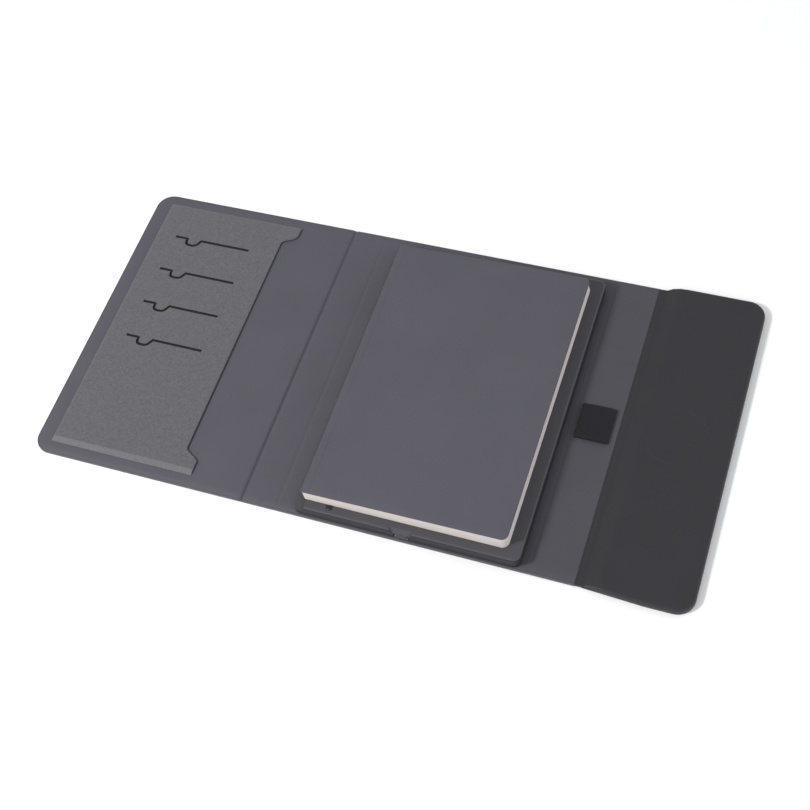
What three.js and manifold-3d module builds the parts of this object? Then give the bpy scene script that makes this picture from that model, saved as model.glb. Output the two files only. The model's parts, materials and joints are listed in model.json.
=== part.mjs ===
// A tri-fold organiser with a wireless charging flap, lying open. Millimetres, +Z up.
// The origin is on the resting plane, under the middle of the open folio. X runs from the
// front cover's free edge to the charging flap's, and Y from the user to the far edge.

import * as THREE from 'three';
import { mergeVertices } from 'three/addons/utils/BufferGeometryUtils.js';
import Module from 'manifold-3d';

const wasm = await Module();
wasm.setup();

// ---- driving dimensions -------------------------------------------------------------

const FOLIO_LENGTH = 457.4;     // free edge to free edge, lying open
const FOLIO_DEPTH = 230;        // along Y
const COVER_WIDTH = 158.5;      // front cover, to its fold
const SPINE_WIDTH = 24.2;       // spine, fold to fold: the closed front cover clears the notebook
const GUSSET_WIDTH = 30.6;      // fore-edge strip, fold to fold: the closed flap clears the cover
const FLAP_WIDTH = 72.2;        // charging flap, from its fold
const FLAP_OVERHANG = 2;        // how far the flap stands past the folio at each end
const OUTER_RADIUS = 12;        // outer corners of the front cover and of the flap

const SKIN = 0.7;               // outer artificial leather
const BOARD = 1.0;              // grey board
const LINING = 0.5;             // inner artificial leather
const GLUE = 0.1;               // glue line between layers
const FOLD_GAP = 1.5;           // from a fold's axis to the panel beside it
const FOLD_ROD = 1.1;           // radius of the doubled leather in a fold
const EDGE_TURN = 2.2;          // how far boards and linings stand in from the skin's edge

const BOARD_Z = SKIN + GLUE;
const LINING_Z = BOARD_Z + BOARD + GLUE;
const PANEL_TOP = LINING_Z + LINING;
const FOLD_AXIS_Z = PANEL_TOP / 2;

const COVER_X = -FOLIO_LENGTH / 2;
const COVER_FOLD_X = COVER_X + COVER_WIDTH;
const SPINE_FOLD_X = COVER_FOLD_X + SPINE_WIDTH;
const FLAP_FOLD_X = FOLIO_LENGTH / 2 - FLAP_WIDTH;
const GUSSET_FOLD_X = FLAP_FOLD_X - GUSSET_WIDTH;
const FRONT_Y = -FOLIO_DEPTH / 2;

// power-bank slab on the centre panel
const SLAB_X = [SPINE_FOLD_X + 12.8, GUSSET_FOLD_X - 5.8];
const SLAB_Y = [FRONT_Y + 1.2, FRONT_Y + 221];
const SLAB_RADIUS = 5;
const SLAB_TOP = 10;
const WRAP = 0.7;
const SHELL_WALL = 1.2;
const SHELL_GAP = 0.15;
const PORT_X = 41.8;            // centre of the charging port in the slab's front face
const PORT_Z = 4.7;
const PORT = { width: 8.94, height: 3.16, depth: 7.4, wall: 0.3, radius: 1.4, mouth: 0.1 };
const PORT_WINDOW = { half: 5.2, bottom: 2.9, top: 8.6, radius: 0.8 };
const SCOOP = { half: 7, foot: 8.4, back: 2.6 };      // the wedge cut away over the port
const BUTTON = {
  x: -7.9, inset: 5.2, radius: 2.2, play: 0.25, lift: 0.35, flange: 2.9, stem: 1.4, travel: 0.4,
};
const SHELL_SPLIT_Z = 6.2;
const SCREW = { inset: 6.6, fromEnd: 6, head: 2.2, shank: 0.85, headHeight: 0.55, boss: 2.8 };

// what lies inside the slab
const CELL = { x: 10, y: -74, width: 64, depth: 122, gap: 8, radius: 3 };
const CIRCUIT = { x0: -22, x1: 86, front: 2.6, depth: 27.5, thickness: 1 };
const CONTROLLER = { x: 16, y: 10, width: 7, depth: 7, height: 0.9 };
const INDUCTOR = { x: 58, y: 12, width: 8, depth: 8, height: 2.2 };
const SWITCH = { width: 6, depth: 4.8, height: 0.8, dome: 1.2, domeHeight: 1.1 };

// notebook and the sleeve that holds its back cover
const NOTEBOOK = {
  x0: -27.7, width: 138.4, inset: 8.8, depth: 204.3, radius: 4.6, cover: 0.6, spineTop: 19.4, foreTop: 21.8,
};
const SLEEVE_X0 = NOTEBOOK.x0 + 2.6;
const SLEEVE = { floor: SLAB_TOP + GLUE, plate: 11.4, top: 12, rim: 7.2, sideRim: 7, clear: 1.4 };
const BACK_COVER_Z = 10.4;
const CREASE_X = NOTEBOOK.x0 + 5.8;

// felt pocket on the front cover
const POCKET = { x0: 11.6, x1: 107.8, tab: 118.3, y0: 8.8, y1: 222, rim: 4.5, z: 3.0, top: 3.5 };
const SLOT = {
  x0: 27.2, x1: 86.7, notch0: 36.9, notch1: 48.3, dip: 4.6, width: 1.1, first: 102.6, pitch: 30.2, count: 4,
};
const CARD_LINER = { x0: 20, x1: 92, y0: 90, y1: 200, thickness: 0.3 };
const STEEL_PLATE = { width: 12, length: 44 };

// charging flap
const FLAP = {
  step: 3.3, skin: 0.8, face: 4.8, top: 5.6, rim: 1.2, ramp: 9, rampTop: 2.5, frontFlare: 39, backFlare: 4,
};
const COIL = { x: 36, inner: 10.5, outer: 22, z: 3.1, height: 1.1, backing: 22.8, sides: 48 };
const ALIGNMENT_RING = { inner: 19.8, outer: 21, depth: 0.2 };
const MAGNET = { length: 40, width: 8, height: 1.6, fromEdge: 9, y: 62 };

const PEN_LOOP = { x0: 1.9, length: 23, y: -1.2, width: 26, webbing: 0.9, hollow: 0.5 };
const CABLE = { fromFront: 25, width: 12, height: 0.4, start: 80, riseX: 104 };

// ---- materials ------------------------------------------------------------------------

const finish = (color, roughness, metalness = 0) => (
  new THREE.MeshStandardMaterial({ color, roughness, metalness })
);
const MATERIAL = {
  leather: finish(0x5f5e66, 0.62),
  gusset: finish(0x555459, 0.62),
  black: finish(0x3b3a3f, 0.55),
  felt: finish(0x6d6c71, 0.95),
  board: finish(0x8b8780, 0.9),
  elastic: finish(0x2b2a2e, 0.85),
  shell: finish(0x2a2b2e, 0.5),
  pouch: finish(0xb9bcc0, 0.35, 0.9),
  circuit: finish(0x1f5a3c, 0.5),
  component: finish(0x1b1b1d, 0.45),
  steel: finish(0xc4c7cb, 0.3, 1),
  copper: finish(0xb8733a, 0.3, 1),
  ferrite: finish(0x35373b, 0.8),
  paper: finish(0xe3ddce, 0.9),
  liner: finish(0x3f3f44, 0.9),
  button: finish(0x1c1c1f, 0.5),
  cable: finish(0xc98d3c, 0.5),
};

// ---- shapes ---------------------------------------------------------------------------

/** A rectangle with its own radius at each corner: front left, front right, back right, back left. */
function roundedRect(x0, y0, x1, y1, [fl, fr, br, bl]) {
  const shape = new THREE.Shape();
  shape.moveTo(x0 + fl, y0).lineTo(x1 - fr, y0);
  if (fr) shape.absarc(x1 - fr, y0 + fr, fr, -Math.PI / 2, 0);
  shape.lineTo(x1, y1 - br);
  if (br) shape.absarc(x1 - br, y1 - br, br, 0, Math.PI / 2);
  shape.lineTo(x0 + bl, y1);
  if (bl) shape.absarc(x0 + bl, y1 - bl, bl, Math.PI / 2, Math.PI);
  shape.lineTo(x0, y0 + fl);
  if (fl) shape.absarc(x0 + fl, y0 + fl, fl, Math.PI, Math.PI * 1.5);
  return shape;
}

/** A flat plate from z0 to z1 with the outline of a shape. */
function plate(shape, z0, z1, curveSegments = 6) {
  const geometry = new THREE.ExtrudeGeometry(shape, { depth: z1 - z0, bevelEnabled: false, curveSegments });
  return geometry.translate(0, 0, z0);
}

/** A box between two corners. */
function block(x0, y0, z0, x1, y1, z1) {
  const box = new THREE.BoxGeometry(x1 - x0, y1 - y0, z1 - z0);
  return box.translate((x0 + x1) / 2, (y0 + y1) / 2, (z0 + z1) / 2);
}

/** A closed outline through points given as pairs. */
const profile = (points) => new THREE.Shape(points.map(([x, z]) => new THREE.Vector2(x, z)));

/** A shape drawn in X and Z, run along Y from y0 to y1. */
function runAlongY(shape, y0, y1, curveSegments = 6) {
  const geometry = new THREE.ExtrudeGeometry(shape, { depth: y1 - y0, bevelEnabled: false, curveSegments });
  return geometry.rotateX(Math.PI / 2).translate(0, y1, 0);
}

/** A shape drawn in Y and Z, run along X from x0 to x1. */
function runAlongX(shape, x0, x1) {
  const axes = [[0, 1, 0], [0, 0, 1], [1, 0, 0]].map((axis) => new THREE.Vector3(...axis));
  const geometry = new THREE.ExtrudeGeometry(shape, { depth: x1 - x0, bevelEnabled: false });
  return geometry.applyMatrix4(new THREE.Matrix4().makeBasis(...axes)).translate(x0, 0, 0);
}

/** A cylinder standing along Z. */
function post(x, y, radius, z0, z1, sides = 24) {
  const cylinder = new THREE.CylinderGeometry(radius, radius, z1 - z0, sides);
  return cylinder.rotateX(Math.PI / 2).translate(x, y, (z0 + z1) / 2);
}

/** A closed geometry as a manifold solid. */
function solid(geometry) {
  const bare = geometry.clone();
  bare.deleteAttribute('normal');
  bare.deleteAttribute('uv');
  const merged = mergeVertices(bare, 1e-4);
  const mesh = new wasm.Mesh({
    numProp: 3,
    vertProperties: new Float32Array(merged.attributes.position.array),
    triVerts: new Uint32Array(merged.index.array),
  });
  return new wasm.Manifold(mesh);
}

/** A manifold solid as a geometry. */
function geometryOf(shape) {
  const { vertProperties, triVerts } = shape.getMesh();
  const geometry = new THREE.BufferGeometry();
  geometry.setAttribute('position', new THREE.BufferAttribute(new Float32Array(vertProperties), 3));
  geometry.setIndex(new THREE.BufferAttribute(new Uint32Array(triVerts), 1));
  return geometry;
}

const cut = (geometry, ...tools) => (
  geometryOf(tools.reduce((rest, tool) => rest.subtract(solid(tool)), solid(geometry)))
);
const join = (first, ...others) => (
  geometryOf(others.reduce((sum, other) => sum.add(solid(other)), solid(first)))
);
const overlap = (first, second) => geometryOf(solid(first).intersect(solid(second)));

/** A flat strip along a line of points, with mitred corners. */
function ribbon(points, width) {
  const side = (sign) => points.map((point, i) => {
    const before = points[Math.max(i - 1, 0)];
    const after = points[Math.min(i + 1, points.length - 1)];
    const into = point.clone().sub(i ? before : point.clone().multiplyScalar(2).sub(after)).normalize();
    const out = (i < points.length - 1 ? after.clone().sub(point) : point.clone().sub(before)).normalize();
    const normal = new THREE.Vector2(-into.y - out.y, into.x + out.x).normalize();
    const reach = width / 2 / Math.max(normal.dot(new THREE.Vector2(-out.y, out.x)), 0.5);
    return point.clone().addScaledVector(normal, sign * reach);
  });
  return new THREE.Shape([...side(-1), ...side(1).reverse()]);
}

// ---- the assembly -----------------------------------------------------------------------

const group = new THREE.Group();

/** Adds one named part to the assembly. */
function add(name, geometry, material) {
  const mesh = new THREE.Mesh(geometry, material);
  mesh.name = name;
  group.add(mesh);
}

const half = FOLIO_DEPTH / 2;

/**
 * A stiffened panel: an outer skin turned up at its outer edges, a board and a lining. radii are the
 * outline's corners, and turned says which of the left and right edges are wrapped. windows are cut
 * through the board, and liningWindows through the lining.
 */
function panel(name, x0, x1, options) {
  const {
    radii = [0, 0, 0, 0], turned = [false, false], lining = MATERIAL.leather, board = 'board',
    windows = [], liningWindows = [],
  } = options;
  const [left, right] = turned.map((wrapped) => (wrapped ? 1 : 0));
  const inset = (by) => roundedRect(
    x0 + by * left, -half + by, x1 - by * right, half - by, radii.map((radius) => Math.max(radius - by, 0)),
  );
  const well = roundedRect(
    left ? x0 + SKIN : x0 - 1, -half + SKIN, right ? x1 - SKIN : x1 + 1, half - SKIN,
    radii.map((radius) => Math.max(radius - SKIN, 0)),
  );
  const skin = cut(plate(inset(0), 0, PANEL_TOP), plate(well, SKIN, PANEL_TOP + 1));
  add(`${name}_outer_skin`, skin, MATERIAL.leather);
  add(`${name}_${board}`, cut(plate(inset(EDGE_TURN), BOARD_Z, BOARD_Z + BOARD), ...windows), MATERIAL.board);
  add(`${name}_lining`, cut(plate(inset(SKIN + GLUE), LINING_Z, PANEL_TOP), ...liningWindows), lining);
}

/** A doubled strip of leather that a panel turns on. */
function fold(name, x, material) {
  const rod = new THREE.CylinderGeometry(FOLD_ROD, FOLD_ROD, FOLIO_DEPTH - 4, 12);
  add(name, rod.translate(x, 0, FOLD_AXIS_Z), material);
}

/** The line of a card slot: a short straight, a thumb notch, then a long straight. */
function slotLine(y) {
  const { x0, x1, notch0, notch1, dip } = SLOT;
  const [from, into, outOf, to] = [x0, notch0, notch1, x1].map((x) => COVER_X + x);
  const path = new THREE.Path().moveTo(from, y).lineTo(into, y).lineTo(into + 0.2, y - dip * 0.5);
  path.bezierCurveTo(into + 0.4, y - dip * 0.95, into + 2, y - dip, into + 4.4, y - dip);
  path.bezierCurveTo(into + 6.6, y - dip, into + 8, y - dip * 0.75, into + 9, y - dip * 0.45);
  return path.lineTo(outOf, y).lineTo(to, y).getPoints(5);
}

/** The pocket's outline, with a tab at each end of its open edge. */
function pocketOutline() {
  const [x0, x1, tab] = [POCKET.x0, POCKET.x1, POCKET.tab].map((x) => COVER_X + x);
  const [y0, y1] = [FRONT_Y + POCKET.y0, FRONT_Y + POCKET.y1];
  const shape = new THREE.Shape().moveTo(x0, y0).lineTo(tab, y0).lineTo(tab, y0 + 10);
  shape.bezierCurveTo(tab, y0 + 13, x1, y0 + 15.5, x1, y0 + 19);
  shape.lineTo(x1, y1 - 17.5).bezierCurveTo(x1 + 0.5, y1 - 13.5, x1 + 4, y1 - 13.5, tab - 3, y1 - 11.5);
  return shape.quadraticCurveTo(tab, y1 - 9.5, tab, y1 - 6.9).lineTo(tab, y1).lineTo(x0, y1).closePath();
}

function buildFrontCover() {
  const closingX = SPINE_FOLD_X + COVER_FOLD_X - (GUSSET_FOLD_X + FLAP_FOLD_X - magnetX());
  const [w, l] = [STEEL_PLATE.width / 2, STEEL_PLATE.length / 2];
  const plates = [-1, 1].map((side) => side * MAGNET.y);
  const window = (y) => block(closingX - w - 0.5, y - l - 0.5, 0, closingX + w + 0.5, y + l + 0.5, PANEL_TOP);
  panel('cover', COVER_X, COVER_FOLD_X - FOLD_GAP, {
    radii: [OUTER_RADIUS, 0, 0, OUTER_RADIUS], turned: [true, false], windows: plates.map(window),
  });
  const [z0, z1] = [BOARD_Z + GLUE, BOARD_Z + BOARD - GLUE];
  ['front', 'back'].forEach((end, i) => {
    const y = plates[i];
    add(`steel_plate_${end}`, block(closingX - w, y - l, z0, closingX + w, y + l, z1), MATERIAL.steel);
  });
  buildDocumentPocket();
}

function buildDocumentPocket() {
  const rim = plate(pocketOutline(), PANEL_TOP + GLUE, POCKET.z + GLUE);
  const inside = block(
    COVER_X + POCKET.x0 + POCKET.rim, FRONT_Y + POCKET.y0 + POCKET.rim, 0,
    COVER_X + POCKET.tab + 1, FRONT_Y + POCKET.y1 - POCKET.rim, POCKET.z,
  );
  const slits = Array.from({ length: SLOT.count }, (_, i) => {
    const y = FRONT_Y + SLOT.first + i * SLOT.pitch;
    return plate(ribbon(slotLine(y), SLOT.width), POCKET.z - 1, POCKET.top + 1);
  });
  const felt = join(cut(rim, inside), plate(pocketOutline(), POCKET.z, POCKET.top));
  add('document_pocket', cut(felt, ...slits), MATERIAL.felt);

  const { x0, x1, y0, y1, thickness } = CARD_LINER;
  const bottom = PANEL_TOP + GLUE;
  add('card_liner', block(
    COVER_X + x0, FRONT_Y + y0, bottom, COVER_X + x1, FRONT_Y + y1, bottom + thickness,
  ), MATERIAL.liner);
}

function buildSpine() {
  panel('spine', COVER_FOLD_X + FOLD_GAP, SPINE_FOLD_X - FOLD_GAP, { board: 'stiffener' });
  fold('cover_fold', COVER_FOLD_X, MATERIAL.leather);
  fold('spine_fold', SPINE_FOLD_X, MATERIAL.leather);
}

// the ribbon lies in a groove in the boards
const CABLE_Y = [FRONT_Y + CABLE.fromFront - CABLE.width / 2, FRONT_Y + CABLE.fromFront + CABLE.width / 2];
const CABLE_Z = BOARD_Z + 0.3;
const CABLE_CLEAR = 0.5;
const RISE_X = [CABLE.riseX - 1, CABLE.riseX + 2];

/** A window around the ribbon between two places along X. */
function cableWindow(x0, x1, z0, z1) {
  return block(x0, CABLE_Y[0] - CABLE_CLEAR, z0, x1, CABLE_Y[1] + CABLE_CLEAR, z1);
}

function buildCentrePanel() {
  const [x0, x1] = [SPINE_FOLD_X + FOLD_GAP, GUSSET_FOLD_X - FOLD_GAP];
  panel('base', x0, x1, {
    windows: [cableWindow(RISE_X[0] - 1, x1 + 1, CABLE_Z - GLUE, PANEL_TOP)],
    liningWindows: [cableWindow(...RISE_X, 0, PANEL_TOP + 1)],
  });
}

const slabOutline = (inset) => roundedRect(
  SLAB_X[0] + inset, SLAB_Y[0] + inset, SLAB_X[1] - inset, SLAB_Y[1] - inset,
  Array(4).fill(SLAB_RADIUS - inset),
);
const BUTTON_Y = SLAB_Y[0] + BUTTON.inset;
const PORT_MOUTH = SLAB_Y[0] + PORT.mouth;
const PORT_BACK = PORT_MOUTH + PORT.depth;

/** The USB-C port's outline, drawn in X and Z, grown by a margin. */
function portOutline(margin) {
  const [w, h] = [PORT.width / 2 + margin, PORT.height / 2 + margin];
  const radius = PORT.radius + margin;
  return roundedRect(PORT_X - w, PORT_Z - h, PORT_X + w, PORT_Z + h, Array(4).fill(radius));
}

/** The opening in the leather around the port, and the wedge cut away over it. */
function portOpening() {
  const { half: w, bottom, top, radius } = PORT_WINDOW;
  const outline = roundedRect(PORT_X - w, bottom, PORT_X + w, top, Array(4).fill(radius));
  return runAlongY(outline, SLAB_Y[0] - 1, SLAB_Y[0] + WRAP + GLUE);
}

function scoop() {
  const slope = (SLEEVE.top - SCOOP.foot) / SCOOP.back;
  const wedge = profile([
    [SLAB_Y[0] - 1, SCOOP.foot - slope], [SLAB_Y[0] + SCOOP.back + 1, SLEEVE.top + slope],
    [SLAB_Y[0] - 1, SLEEVE.top + slope],
  ]);
  return runAlongX(wedge, PORT_X - SCOOP.half, PORT_X + SCOOP.half);
}

function buildPowerBank() {
  const bottom = PANEL_TOP + GLUE;
  const shellOut = WRAP + SHELL_GAP;
  const shellBottom = bottom + GLUE;
  const shellTop = SLAB_TOP - WRAP - GLUE;
  const floorZ = shellBottom + SHELL_WALL - 0.2;
  const ceilingZ = shellTop - SHELL_WALL + 0.2;
  const portHole = runAlongY(portOutline(0.2), -half - 1, PORT_BACK + 0.3);
  const buttonHole = post(BUTTON.x, BUTTON_Y, BUTTON.radius + BUTTON.play, SHELL_SPLIT_Z, SLEEVE.top + 2);

  add('power_bank_wrap', cut(
    plate(slabOutline(0), bottom, SLAB_TOP), plate(slabOutline(WRAP), 0, SLAB_TOP - WRAP),
    portOpening(), scoop(), buttonHole,
  ), MATERIAL.leather);

  const screws = [SLAB_Y[0] + SCREW.inset, SLAB_Y[1] - SCREW.inset].flatMap((y) => (
    [SLAB_X[0] + SCREW.fromEnd, SLAB_X[1] - SCREW.fromEnd].map((x) => [x, y])
  ));
  const screwHoles = screws.flatMap(([x, y]) => [
    post(x, y, SCREW.head + 0.2, 0, shellBottom + SCREW.headHeight + 0.15),
    post(x, y, SCREW.shank + 0.35, 0, floorZ + 1),
  ]);
  add('power_bank_lower_shell', cut(
    plate(slabOutline(shellOut), shellBottom, SHELL_SPLIT_Z),
    plate(slabOutline(shellOut + SHELL_WALL), floorZ, SHELL_SPLIT_Z + 1),
    portHole, cableWindow(...RISE_X, 0, floorZ + 1), ...screwHoles,
  ), MATERIAL.shell);

  const lid = cut(
    plate(slabOutline(shellOut), SHELL_SPLIT_Z + GLUE, shellTop),
    plate(slabOutline(shellOut + SHELL_WALL), 0, ceilingZ), portHole, buttonHole,
  );
  const bosses = screws.map(([x, y]) => post(x, y, SCREW.boss, floorZ + GLUE, ceilingZ + 0.3));
  const threads = screws.map(([x, y]) => post(x, y, SCREW.shank + 0.1, 0, ceilingZ - 0.4));
  add('power_bank_upper_shell', cut(join(lid, ...bosses), ...threads), MATERIAL.shell);
  screws.forEach(([x, y], i) => {
    const head = post(x, y, SCREW.head, shellBottom + 0.05, shellBottom + SCREW.headHeight + 0.05);
    const shank = post(x, y, SCREW.shank, shellBottom + SCREW.headHeight / 2, ceilingZ - 0.8);
    add(`shell_screw_${i + 1}`, join(head, shank), MATERIAL.steel);
  });
  buildElectronics(floorZ, ceilingZ);
}

function buildElectronics(floorZ, ceilingZ) {
  ['left', 'right'].forEach((side, i) => {
    const x0 = SLAB_X[0] + CELL.x + i * (CELL.width + CELL.gap);
    const outline = roundedRect(
      x0, CELL.y, x0 + CELL.width, CELL.y + CELL.depth, Array(4).fill(CELL.radius),
    );
    add(`battery_pouch_${side}`, plate(outline, floorZ + 0.2, ceilingZ - 0.3, 3), MATERIAL.pouch);
  });

  const boardBottom = PORT_Z - 0.9;
  const boardTop = boardBottom + CIRCUIT.thickness + 0.05;
  const boardY = SLAB_Y[0] + CIRCUIT.front;
  const board = block(CIRCUIT.x0, boardY, boardBottom, CIRCUIT.x1, boardY + CIRCUIT.depth, boardTop - 0.05);
  const notch = PORT.width / 2 + 0.2;
  const portNotch = block(PORT_X - notch, -half, 0, PORT_X + notch, PORT_BACK + 0.4, SLAB_TOP);
  add('main_board', cut(board, portNotch), MATERIAL.circuit);
  const chips = { charge_controller: CONTROLLER, power_inductor: INDUCTOR };
  Object.entries(chips).forEach(([name, { x, y, width, depth, height }]) => {
    const chip = block(x, boardY + y, boardTop, x + width, boardY + y + depth, boardTop + height);
    add(name, chip, MATERIAL.component);
  });
  const switchY = BUTTON_Y + 1;
  const switchBody = block(
    BUTTON.x - SWITCH.width / 2, switchY - SWITCH.depth / 2, boardTop,
    BUTTON.x + SWITCH.width / 2, switchY + SWITCH.depth / 2, boardTop + SWITCH.height,
  );
  const switchTop = boardTop + SWITCH.domeHeight;
  const dome = post(BUTTON.x, switchY - 0.6, SWITCH.dome, boardTop + SWITCH.height / 2, switchTop);
  add('button_switch', join(switchBody, dome), MATERIAL.component);
  buildPort();
  buildButton(switchTop + BUTTON.travel + GLUE, ceilingZ);
  buildSlabCable(boardTop);
}

/** The ribbon that leaves the board, drops through the slab's floor and runs on to the strip. */
function buildSlabCable(top) {
  const { start, riseX, height } = CABLE;
  const end = GUSSET_FOLD_X - FOLD_GAP - 0.5;
  const side = profile([
    [start, top], [riseX, top], [riseX, CABLE_Z], [end, CABLE_Z], [end, CABLE_Z + height],
    [riseX + height, CABLE_Z + height], [riseX + height, top + height], [start, top + height],
  ]);
  add('cable_base', runAlongY(side, ...CABLE_Y), MATERIAL.cable);
}

function buildPort() {
  const tube = runAlongY(portOutline(0), PORT_MOUTH, PORT_BACK);
  const hollow = runAlongY(portOutline(-PORT.wall), PORT_MOUTH - 1, PORT_BACK - 0.5);
  add('usb_c_shell', cut(tube, hollow), MATERIAL.steel);
  const [w, h] = [3.35, 0.35];
  const tongue = block(PORT_X - w, PORT_MOUTH + 0.9, PORT_Z - h, PORT_X + w, PORT_BACK - 0.6, PORT_Z + h);
  add('usb_c_tongue', tongue, MATERIAL.component);
}

/** The power button: a cap through the slab's top, held in by a flange below the lid. */
function buildButton(bottomZ, ceilingZ) {
  const flange = post(BUTTON.x, BUTTON_Y, BUTTON.flange, ceilingZ - 0.8, ceilingZ - 0.2);
  const stem = post(BUTTON.x, BUTTON_Y, BUTTON.stem, bottomZ, ceilingZ - 0.5);
  const cap = post(BUTTON.x, BUTTON_Y, BUTTON.radius, ceilingZ - 0.4, SLEEVE.top + BUTTON.lift);
  add('power_button', join(cap, flange, stem), MATERIAL.button);
}

function buildSleeve() {
  const outline = roundedRect(SLEEVE_X0, SLAB_Y[0], SLAB_X[1], SLAB_Y[1], [0, SLAB_RADIUS, SLAB_RADIUS, 0]);
  const notebookBack = FRONT_Y + NOTEBOOK.inset + NOTEBOOK.depth;
  const inside = block(
    SLEEVE_X0 - 1, SLAB_Y[0] + SLEEVE.rim, 0,
    SLAB_X[1] - SLEEVE.sideRim, notebookBack + SLEEVE.clear, SLEEVE.plate,
  );
  const hole = post(BUTTON.x, BUTTON_Y, BUTTON.radius + BUTTON.play, SLAB_TOP - 1, SLEEVE.top + 2);
  const sleeve = cut(plate(outline, SLEEVE.floor, SLEEVE.top), inside, hole, scoop());
  add('notebook_sleeve', sleeve, MATERIAL.leather);
}

function buildNotebook() {
  const { x0, width, depth, radius, cover, spineTop, foreTop } = NOTEBOOK;
  const [x1, y0, y1] = [x0 + width, FRONT_Y + NOTEBOOK.inset, FRONT_Y + NOTEBOOK.inset + depth];
  const pageX = [x0 + cover + GLUE, x1 - 0.6];
  const topAt = (x) => spineTop + ((foreTop - spineTop) * (x - pageX[0])) / (pageX[1] - pageX[0]);
  const plan = (left, right, inset) => plate(
    roundedRect(left, y0 + inset, right, y1 - inset, [0, radius, radius, 0]), 5, 30, 10,
  );

  const floor = SLEEVE.top + 0.2;
  const pageSide = profile([[pageX[0], floor], [pageX[1], floor], [pageX[1], foreTop], [pageX[0], spineTop]]);
  add('page_block', overlap(plan(...pageX, 0.5), runAlongY(pageSide, y0 - 5, y1 + 5)), MATERIAL.paper);

  const leafEnd = CREASE_X - 0.35;
  const strip = profile([
    [x0, BACK_COVER_Z], [x0 + cover, BACK_COVER_Z], [x0 + cover, topAt(x0 + cover) + GLUE],
    [leafEnd, topAt(leafEnd) + GLUE], [leafEnd, topAt(leafEnd) + GLUE + cover],
    [x0, topAt(x0) + GLUE + cover],
  ]);
  add('notebook_spine', runAlongY(strip, y0, y1), MATERIAL.leather);

  const leafStart = CREASE_X + 0.25;
  const leaf = profile([
    [leafStart, topAt(leafStart) + GLUE], [x1, topAt(x1) + GLUE],
    [x1, topAt(x1) + GLUE + cover], [leafStart, topAt(leafStart) + GLUE + cover],
  ]);
  const leather = overlap(plan(leafStart, x1, 0), runAlongY(leaf, y0 - 5, y1 + 5));
  add('notebook_front_cover', leather, MATERIAL.leather);

  const backOutline = roundedRect(pageX[0], y0 + 0.6, x1 - 1, y1 - 0.6, [0, radius, radius, 0]);
  add('notebook_back_cover', plate(backOutline, BACK_COVER_Z, BACK_COVER_Z + cover), MATERIAL.leather);
}

function buildGusset() {
  const [x0, x1] = [GUSSET_FOLD_X + FOLD_GAP, FLAP_FOLD_X - FOLD_GAP];
  panel('gusset', x0, x1, {
    lining: MATERIAL.gusset, windows: [cableWindow(x0 - 1, x1 + 1, CABLE_Z - GLUE, PANEL_TOP)],
  });
  fold('gusset_fold', GUSSET_FOLD_X, MATERIAL.gusset);
  fold('flap_fold', FLAP_FOLD_X, MATERIAL.black);
  const cable = block(x0 + 0.5, CABLE_Y[0], CABLE_Z, x1 - 0.5, CABLE_Y[1], CABLE_Z + CABLE.height);
  add('cable_gusset', cable, MATERIAL.cable);
  buildPenLoop();
}

/** A band of elastic webbing, sewn shut and lying flat. */
function buildPenLoop() {
  const { length, width, webbing, hollow } = PEN_LOOP;
  const [x0, z0] = [GUSSET_FOLD_X + PEN_LOOP.x0, PANEL_TOP + GLUE];
  const height = 2 * webbing + hollow;
  const band = (inset) => {
    const radius = height / 2 - inset - 0.01;
    const [x1, z1] = [x0 + length - inset, z0 + height - inset];
    return roundedRect(x0 + inset, z0 + inset, x1, z1, Array(4).fill(radius));
  };
  const outer = runAlongY(band(0), PEN_LOOP.y - width / 2, PEN_LOOP.y + width / 2);
  const inner = runAlongY(band(webbing), PEN_LOOP.y - width, PEN_LOOP.y + width);
  add('pen_loop', cut(outer, inner), MATERIAL.elastic);
}

function magnetX() {
  return FOLIO_LENGTH / 2 - MAGNET.fromEdge - MAGNET.width / 2;
}

const PAD_X = FLAP_FOLD_X + FLAP.step;
const PAD_REACH = half + FLAP_OVERHANG;
const COIL_X = FLAP_FOLD_X + COIL.x;

/** The pad's outline: as wide as the folio at the fold, then flared to its full width. */
function padOutline(inset) {
  const [x0, x1] = [PAD_X + inset, FOLIO_LENGTH / 2 - inset];
  const [narrow, wide, corner] = [half - inset, PAD_REACH - inset, OUTER_RADIUS - inset];
  const shape = new THREE.Shape().moveTo(x0, -narrow).lineTo(PAD_X + FLAP.frontFlare, -wide);
  shape.lineTo(x1 - corner, -wide).absarc(x1 - corner, corner - wide, corner, -Math.PI / 2, 0);
  shape.lineTo(x1, wide - corner).absarc(x1 - corner, wide - corner, corner, 0, Math.PI / 2);
  return shape.lineTo(PAD_X + FLAP.backFlare, wide).lineTo(x0, narrow);
}

/** All that lies over the ramp by which the pad rises from the fold, lowered by a drop. */
function overRamp(drop) {
  const end = PAD_X + FLAP.ramp;
  const start = FLAP.rampTop - (FLAP.top - FLAP.face) - drop;
  const slope = (FLAP.face - drop - start) / FLAP.ramp;
  const side = profile([[PAD_X - 1, start - slope], [end, FLAP.face - drop], [end, 9], [PAD_X - 1, 9]]);
  return runAlongY(side, -PAD_REACH - 1, PAD_REACH + 1);
}

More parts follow.
